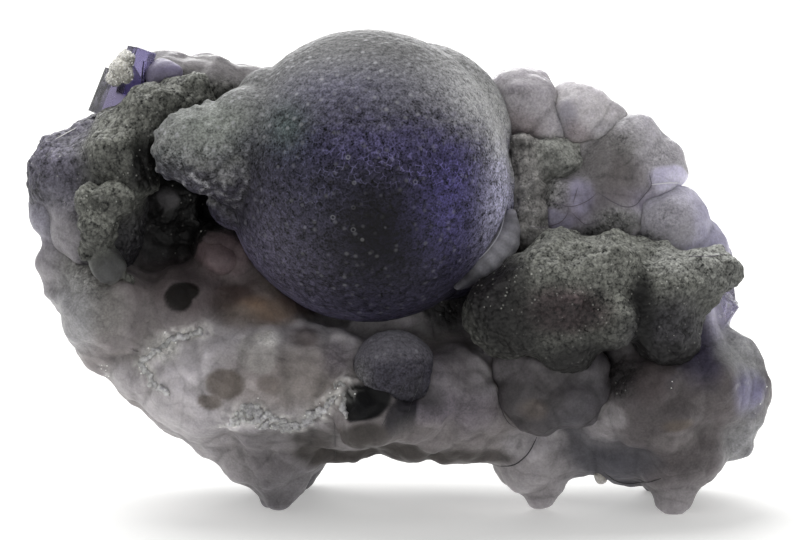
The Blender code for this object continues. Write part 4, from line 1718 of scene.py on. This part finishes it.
        # Frost with a painted sheen of top light on what faces up, and a painted highlight on the top rim.
        keep(mesh, "frost", smooth_step(facings_of(mesh)[:, 2], -0.1, 1.0))
        keep(mesh, "frosting", painted(points, (106, 104, 111), [
            ((-0.8, -7.8, 19.2), (6.0, 6.0, 0.9), (150, 149, 156)),
        ]))
        mesh.attributes.remove(mesh.attributes["tone"])
        keep(mesh, "tone", painted(points, (54, 52, 61), [
            ((-1.0, -12.0, 11.0), (4.5, 4.0, 3.0), (42, 41, 45)),
            ((1.6, -12.0, 12.0), (1.3, 4.0, 4.2), (33, 32, 37)),
            ((-4.4, -10.0, 14.0), (1.6, 4.0, 4.0), (104, 103, 105)),
        ]))
        place_piece(thing, "small_ball", DruseFinish("small_druse", contrast=0.6).material())
        return thing


@dataclass
class MatrixRock:
    """The matrix: a smooth translucent mass in two parts that meet on a flat cut, and the crusts on it."""

    fine: float = 0.22
    smooth: float = 0.28

    def build(self) -> list[bpy.types.Object]:
        """Builds every piece of the matrix.

        Returns:
            The surfaces that threads may lie on.
        """
        finish = MatrixFinish("matrix_fluorite").material()
        spark = PlainFinish("crust_spark", Tone.SPARK).material()
        bright = PlainFinish("ridge_spark", Tone.RIDGE_SPARK).material()
        druse = MatrixFinish("druse_fluorite", rough_contrast=0.7).material()
        mass, crusts, lumps = self.mass(), self.crusts(), self.lumps()
        for thing in [*mass, *crusts, *lumps]:
            place_piece(thing, "matrix", druse if thing.name == "upper_druse" else finish)
        tree = BVHTree.FromObject(mass[0], bpy.context.evaluated_depsgraph_get())
        heap = []
        for number, trail in enumerate(RIDGES):
            heap += heap_along(trail, tree, 0.12, 0.3, number)
        ridge = Growth(
            "shelf_ridges",
            {Tone.RIDGE: heap},
            grains=[Grains(0.25, 0.06)],
            waves=[Grains(0.7, 0.16)],
            voxel=0.08,
            trim=-0.04,
            melt=3,
        ).build()
        place_piece(ridge, "matrix", finish)
        grit = crystal_dust(mass[0], "edge_crystals", "crystals", 4.0, 0.05, 0.16, 1)
        place_piece(grit, "matrix", bright)
        for number, thing in enumerate(crusts):
            dust = crystal_dust(thing, f"{thing.name}_dust", "dust", 0.5, 0.05, 0.12, number)
            place_piece(dust, "matrix", spark)
        return [*mass, *crusts, *lumps]

    def mass(self) -> list[bpy.types.Object]:
        """The smooth mass, cut in a front and a back part."""
        lumps = {
            Tone.DARK_GLASS: [*CORE_LUMPS, *LEFT_GLASS],
            Tone.BACK: [*BACK_LUMPS, *BACK_FEET],
            Tone.LILAC: UPPER_LILAC,
            Tone.CELL: UPPER_CELLS,
            Tone.LEFT_GLASSY: LEFT_LILAC,
            Tone.GREY_LILAC: [*LEFT_GREY, *LEFT_FOOT],
            Tone.PINKISH: [*LEFT_PINK, *SHELF_PINK, *MIDDLE_PINK],
            Tone.BROWN: RECESS_FLOOR,
            Tone.PALE_LILAC: SHELF_PALE,
            Tone.PALE_FOOT: [*MIDDLE_FOOT, *LOW_PALE],
            Tone.BLUISH: LOW_BLUE,
            Tone.SMOKY_AND_SHADE: LOW_SMOKY,
            Tone.DUSKY_VIOLET: MIDDLE_VIOLET,
            Tone.HAZE: UPPER_HAZE,
        }
        whole = Growth(
            "mass",
            lumps,
            {Tone.BACK: knobs_on(BACK_LUMPS, *BACK_KNOBS)},
            patches=MASS_PATCHES,
            trails=MASS_TRAILS,
            grains=[Grains(4.2, 0.42), Grains(2.0, 0.14), Grains(0.7, 0.12, "crust")],
            waves=[Grains(2.2, 0.12), Grains(1.5, 0.3, "crust"), Grains(0.8, 0.6, "crystals")],
            voxel=self.smooth,
            swell=0.9,
            melt=5,
            blend=0.7,
        ).build()
        parts = [
            part_of(whole, "mass_front", (-ROOM, -ROOM, -10.0), (ROOM, CUT_DEPTH, 70.0)),
            part_of(whole, "mass_back", (-ROOM, CUT_DEPTH, -10.0), (ROOM, ROOM, 70.0)),
        ]
        bpy.data.objects.remove(whole, do_unlink=True)
        return parts

    def crusts(self) -> list[bpy.types.Object]:
        """The granular crusts, and the knobs that hang on the left one."""
        settings = {
            "grains": [Grains(1.3, 0.2, "crust"), Grains(0.5, 0.12, "crust")],
            "waves": [Grains(4.0, 0.35), Grains(1.5, 0.3, "crust")],
            "voxel": self.fine,
        }
        left = Growth(
            "left_crust",
            {Tone.OLIVE: LEFT_OLIVE, Tone.OLIVE_DARK: LEFT_DARK, Tone.VIOLET_CRUST: LEFT_VIOLET},
            {Tone.OLIVE: knobs_on(LEFT_OLIVE, *CRUST_KNOBS)},
            patches=CRUST_PATCHES,
            swell=2.0,
            blend=1.0,
            **settings,
        )
        knobs = Growth(
            "left_knobs",
            {Tone.OLIVE: LEFT_KNOBS, Tone.DARK_BALL: LEFT_BALLS},
            {Tone.OLIVE: knobs_on(LEFT_KNOBS, 6, 0.6, 1.1, 0.3, 5)},
            swell=0.2,
            melt=3,
            **settings,
        )
        right = Growth(
            "right_crust",
            {Tone.OLIVE_PALE: CRUST_LUMPS},
            {Tone.OLIVE_PALE: knobs_on(CRUST_LUMPS, *CRUST_KNOBS)},
            patches=CRUST_PATCHES,
            swell=1.0,
            **settings,
        )
        upper = Growth(
            "upper_druse",
            {Tone.OLIVE_BRIGHT: DRUSE_LUMPS, Tone.STRIP: STRIP_LUMPS},
            {
                Tone.OLIVE_BRIGHT: knobs_on(DRUSE_LUMPS, *CRUST_KNOBS),
                Tone.STRIP: knobs_on(STRIP_LUMPS, 6, 0.5, 0.9, 0.3, 4),
            },
            swell=0.6,
            **settings,
        )
        return [crust.build() for crust in (left, knobs, right, upper)]

    def lumps(self) -> list[bpy.types.Object]:
        """The smooth lumps whose edges stand clear of the mass."""
        settings = {
            "grains": [Grains(2.6, 0.14), Grains(0.6, 0.08, "crust")],
            "waves": [Grains(2.2, 0.14), Grains(1.2, 0.2, "crust")],
            "voxel": self.fine,
            "patches": LUMP_PATCHES,
            "blend": 0.7,
            "swell": 0.6,
        }
        blobs = Growth(
            "front_blobs",
            {Tone.DARK_GLASS: LOW_DARK, Tone.DEEP_BLUE: BLOB_BLUE},
            {Tone.BLOB: knobs_on([*LOW_DARK, *BLOB_BLUE], 9, 0.9, 1.6, 0.35, 6)},
            **settings,
        )
        plain = [
            Growth(name, {tone: balls}, **settings)
            for name, tone, balls in (
                ("first_lump", Tone.FIRST_LUMP, UPPER_GREY),
                ("second_lump", Tone.SECOND_LUMP, UPPER_PALE),
                ("lavender_lump", Tone.LAVENDER_LUMP, LAVENDER_LUMP),
                ("lilac_bud", Tone.BUD, LILAC_BUD),
                ("pink_lump", Tone.DUSKY_PINK, PINK_LUMP),
                ("pale_bud", Tone.PALE_BUD, PALE_BUD),
            )
        ]
        return [growth.build() for growth in (blobs, *plain)]


@dataclass
class Edges:
    """The thin glints, seams and cracks that lie on the surfaces."""

    def build(self, surfaces: list[bpy.types.Object]) -> None:
        """Lays every thread."""
        graph = bpy.context.evaluated_depsgraph_get()
        trees = [BVHTree.FromObject(thing, graph) for thing in surfaces]
        finishes = {
            tone: PlainFinish(f"edge_{tone.name.lower()}", tone).material()
            for tone in {thread.tone for thread in THREADS}
        }
        for number, thread in enumerate(THREADS):
            thing = thread.build(f"edge_{number}", trees)
            if thing:
                place_piece(thing, thread.replaces, finishes[thread.tone])


@dataclass
class RimCrystals:
    """The glassy crystals at the rim."""

    bevel: float = 0.35

    def build(self) -> None:
        """Models the two crystals, and the broken sparkling patch on the corner one."""
        for part, name, blocks, tint, density in (
            ("corner_body", "corner_crystal", CORNER_BLOCKS, (0.47, 0.44, 0.56), 760.0),
            ("corner_top", "corner_crystal", CORNER_TOP_BLOCKS, (0.41, 0.37, 0.58), 1000.0),
            ("edge_block", "edge_crystal", EDGE_BLOCKS, (0.72, 0.69, 0.86), 70.0),
        ):
            thing = crystal_of(part, blocks, self.bevel)
            place_piece(thing, name, GlassFinish(f"{part}_finish", tint, density).material())
        broken = Growth(
            "corner_break",
            {Tone.BREAK: CORNER_BREAK},
            {Tone.BREAK: knobs_on(CORNER_BREAK, 12, 0.15, 0.3, 0.1, 3)},
            grains=[Grains(0.3, 0.1)],
            waves=[Grains(0.6, 0.2)],
            warps=[],
            voxel=0.07,
            melt=1,
            trim=0.0,
        ).build()
        finish = MatrixFinish("broken_fluorite", grain=0.25, rough_contrast=0.8).material()
        place_piece(broken, "corner_crystal", finish)
        chips = crystal_dust(broken, "break_chips", "crust", 14.0, 0.04, 0.12, 5)
        chip = PlainFinish("break_chip", Tone.RIDGE_SPARK).material()
        place_piece(chips, "corner_crystal", chip)


@dataclass
class Studio:
    """The pale floor, the soft light and the camera at the photograph's angle."""

    reach: float = 6.0
    target: Place = (0.05, -2.5, 23.83)
    elevation: float = 7.0
    distance: float = 444.4
    lens: float = 202.2
    sensor: float = 36.0

    def build(self) -> None:
        """Sets the stage."""
        self.floor()
        self.lights()
        self.camera()
        view = bpy.context.scene.view_settings
        view.view_transform = "Standard"

    def floor(self) -> None:
        """A wide pale floor."""
        deselect()
        bpy.ops.mesh.primitive_circle_add(vertices=96, radius=self.reach, fill_type="NGON")
        thing = bpy.context.object
        thing.name = "floor"
        material, board = new_material("pale_floor")
        shader = board.add("ShaderNodeBsdfPrincipled", {}, {
            "Base Color": (0.86, 0.86, 0.85),
            "Roughness": 0.9,
            "Specular IOR Level": 0.0,
            "Emission Color": (1.0, 1.0, 0.99),
            "Emission Strength": 0.31,
        })
        finish_material(board, shader.outputs[0])
        thing.data.materials.append(material)

    def lights(self) -> None:
        """A wide soft key from above and behind, a low back light, and an even world."""
        for name, power, angle, lean, side in (
            ("key", 2.2, 45.0, 24.0, 14.0),
            ("back", 1.2, 30.0, 72.0, 0.0),
        ):
            lamp = bpy.data.lights.new(name, "SUN")
            lamp.energy = power
            lamp.angle = math.radians(angle)
            thing = bpy.data.objects.new(name, lamp)
            thing.rotation_euler = (-math.radians(lean), -math.radians(side), 0.0)
            bpy.context.scene.collection.objects.link(thing)
        world = bpy.data.worlds.new("studio")
        world.use_nodes = True
        world.node_tree.nodes["Background"].inputs[0].default_value = (1.0, 1.0, 1.0, 1.0)
        world.node_tree.nodes["Background"].inputs[1].default_value = 0.48
        bpy.context.scene.world = world

    def camera(self) -> None:
        """The camera, a little above the middle of the specimen."""
        lens = bpy.data.cameras.new("camera")
        lens.lens = self.lens
        lens.sensor_width = self.sensor
        thing = bpy.data.objects.new("camera", lens)
        rise = math.radians(self.elevation)
        back = Vector((0.0, -math.cos(rise), math.sin(rise)))
        thing.location = (Vector(self.target) + back * self.distance) * MM
        thing.rotation_euler = (-back).to_track_quat("-Z", "Y").to_euler()
        bpy.context.scene.collection.objects.link(thing)
        bpy.context.scene.camera = thing


def main() -> None:
    """Builds the pieces in order."""
    logging.basicConfig(level=logging.INFO, format="%(message)s")
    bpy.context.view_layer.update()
    balls = VioletBalls().build()
    rock = MatrixRock().build()
    Edges().build([*balls, *rock])
    RimCrystals().build()
    Studio().build()


if __name__ == "__main__":
    main()
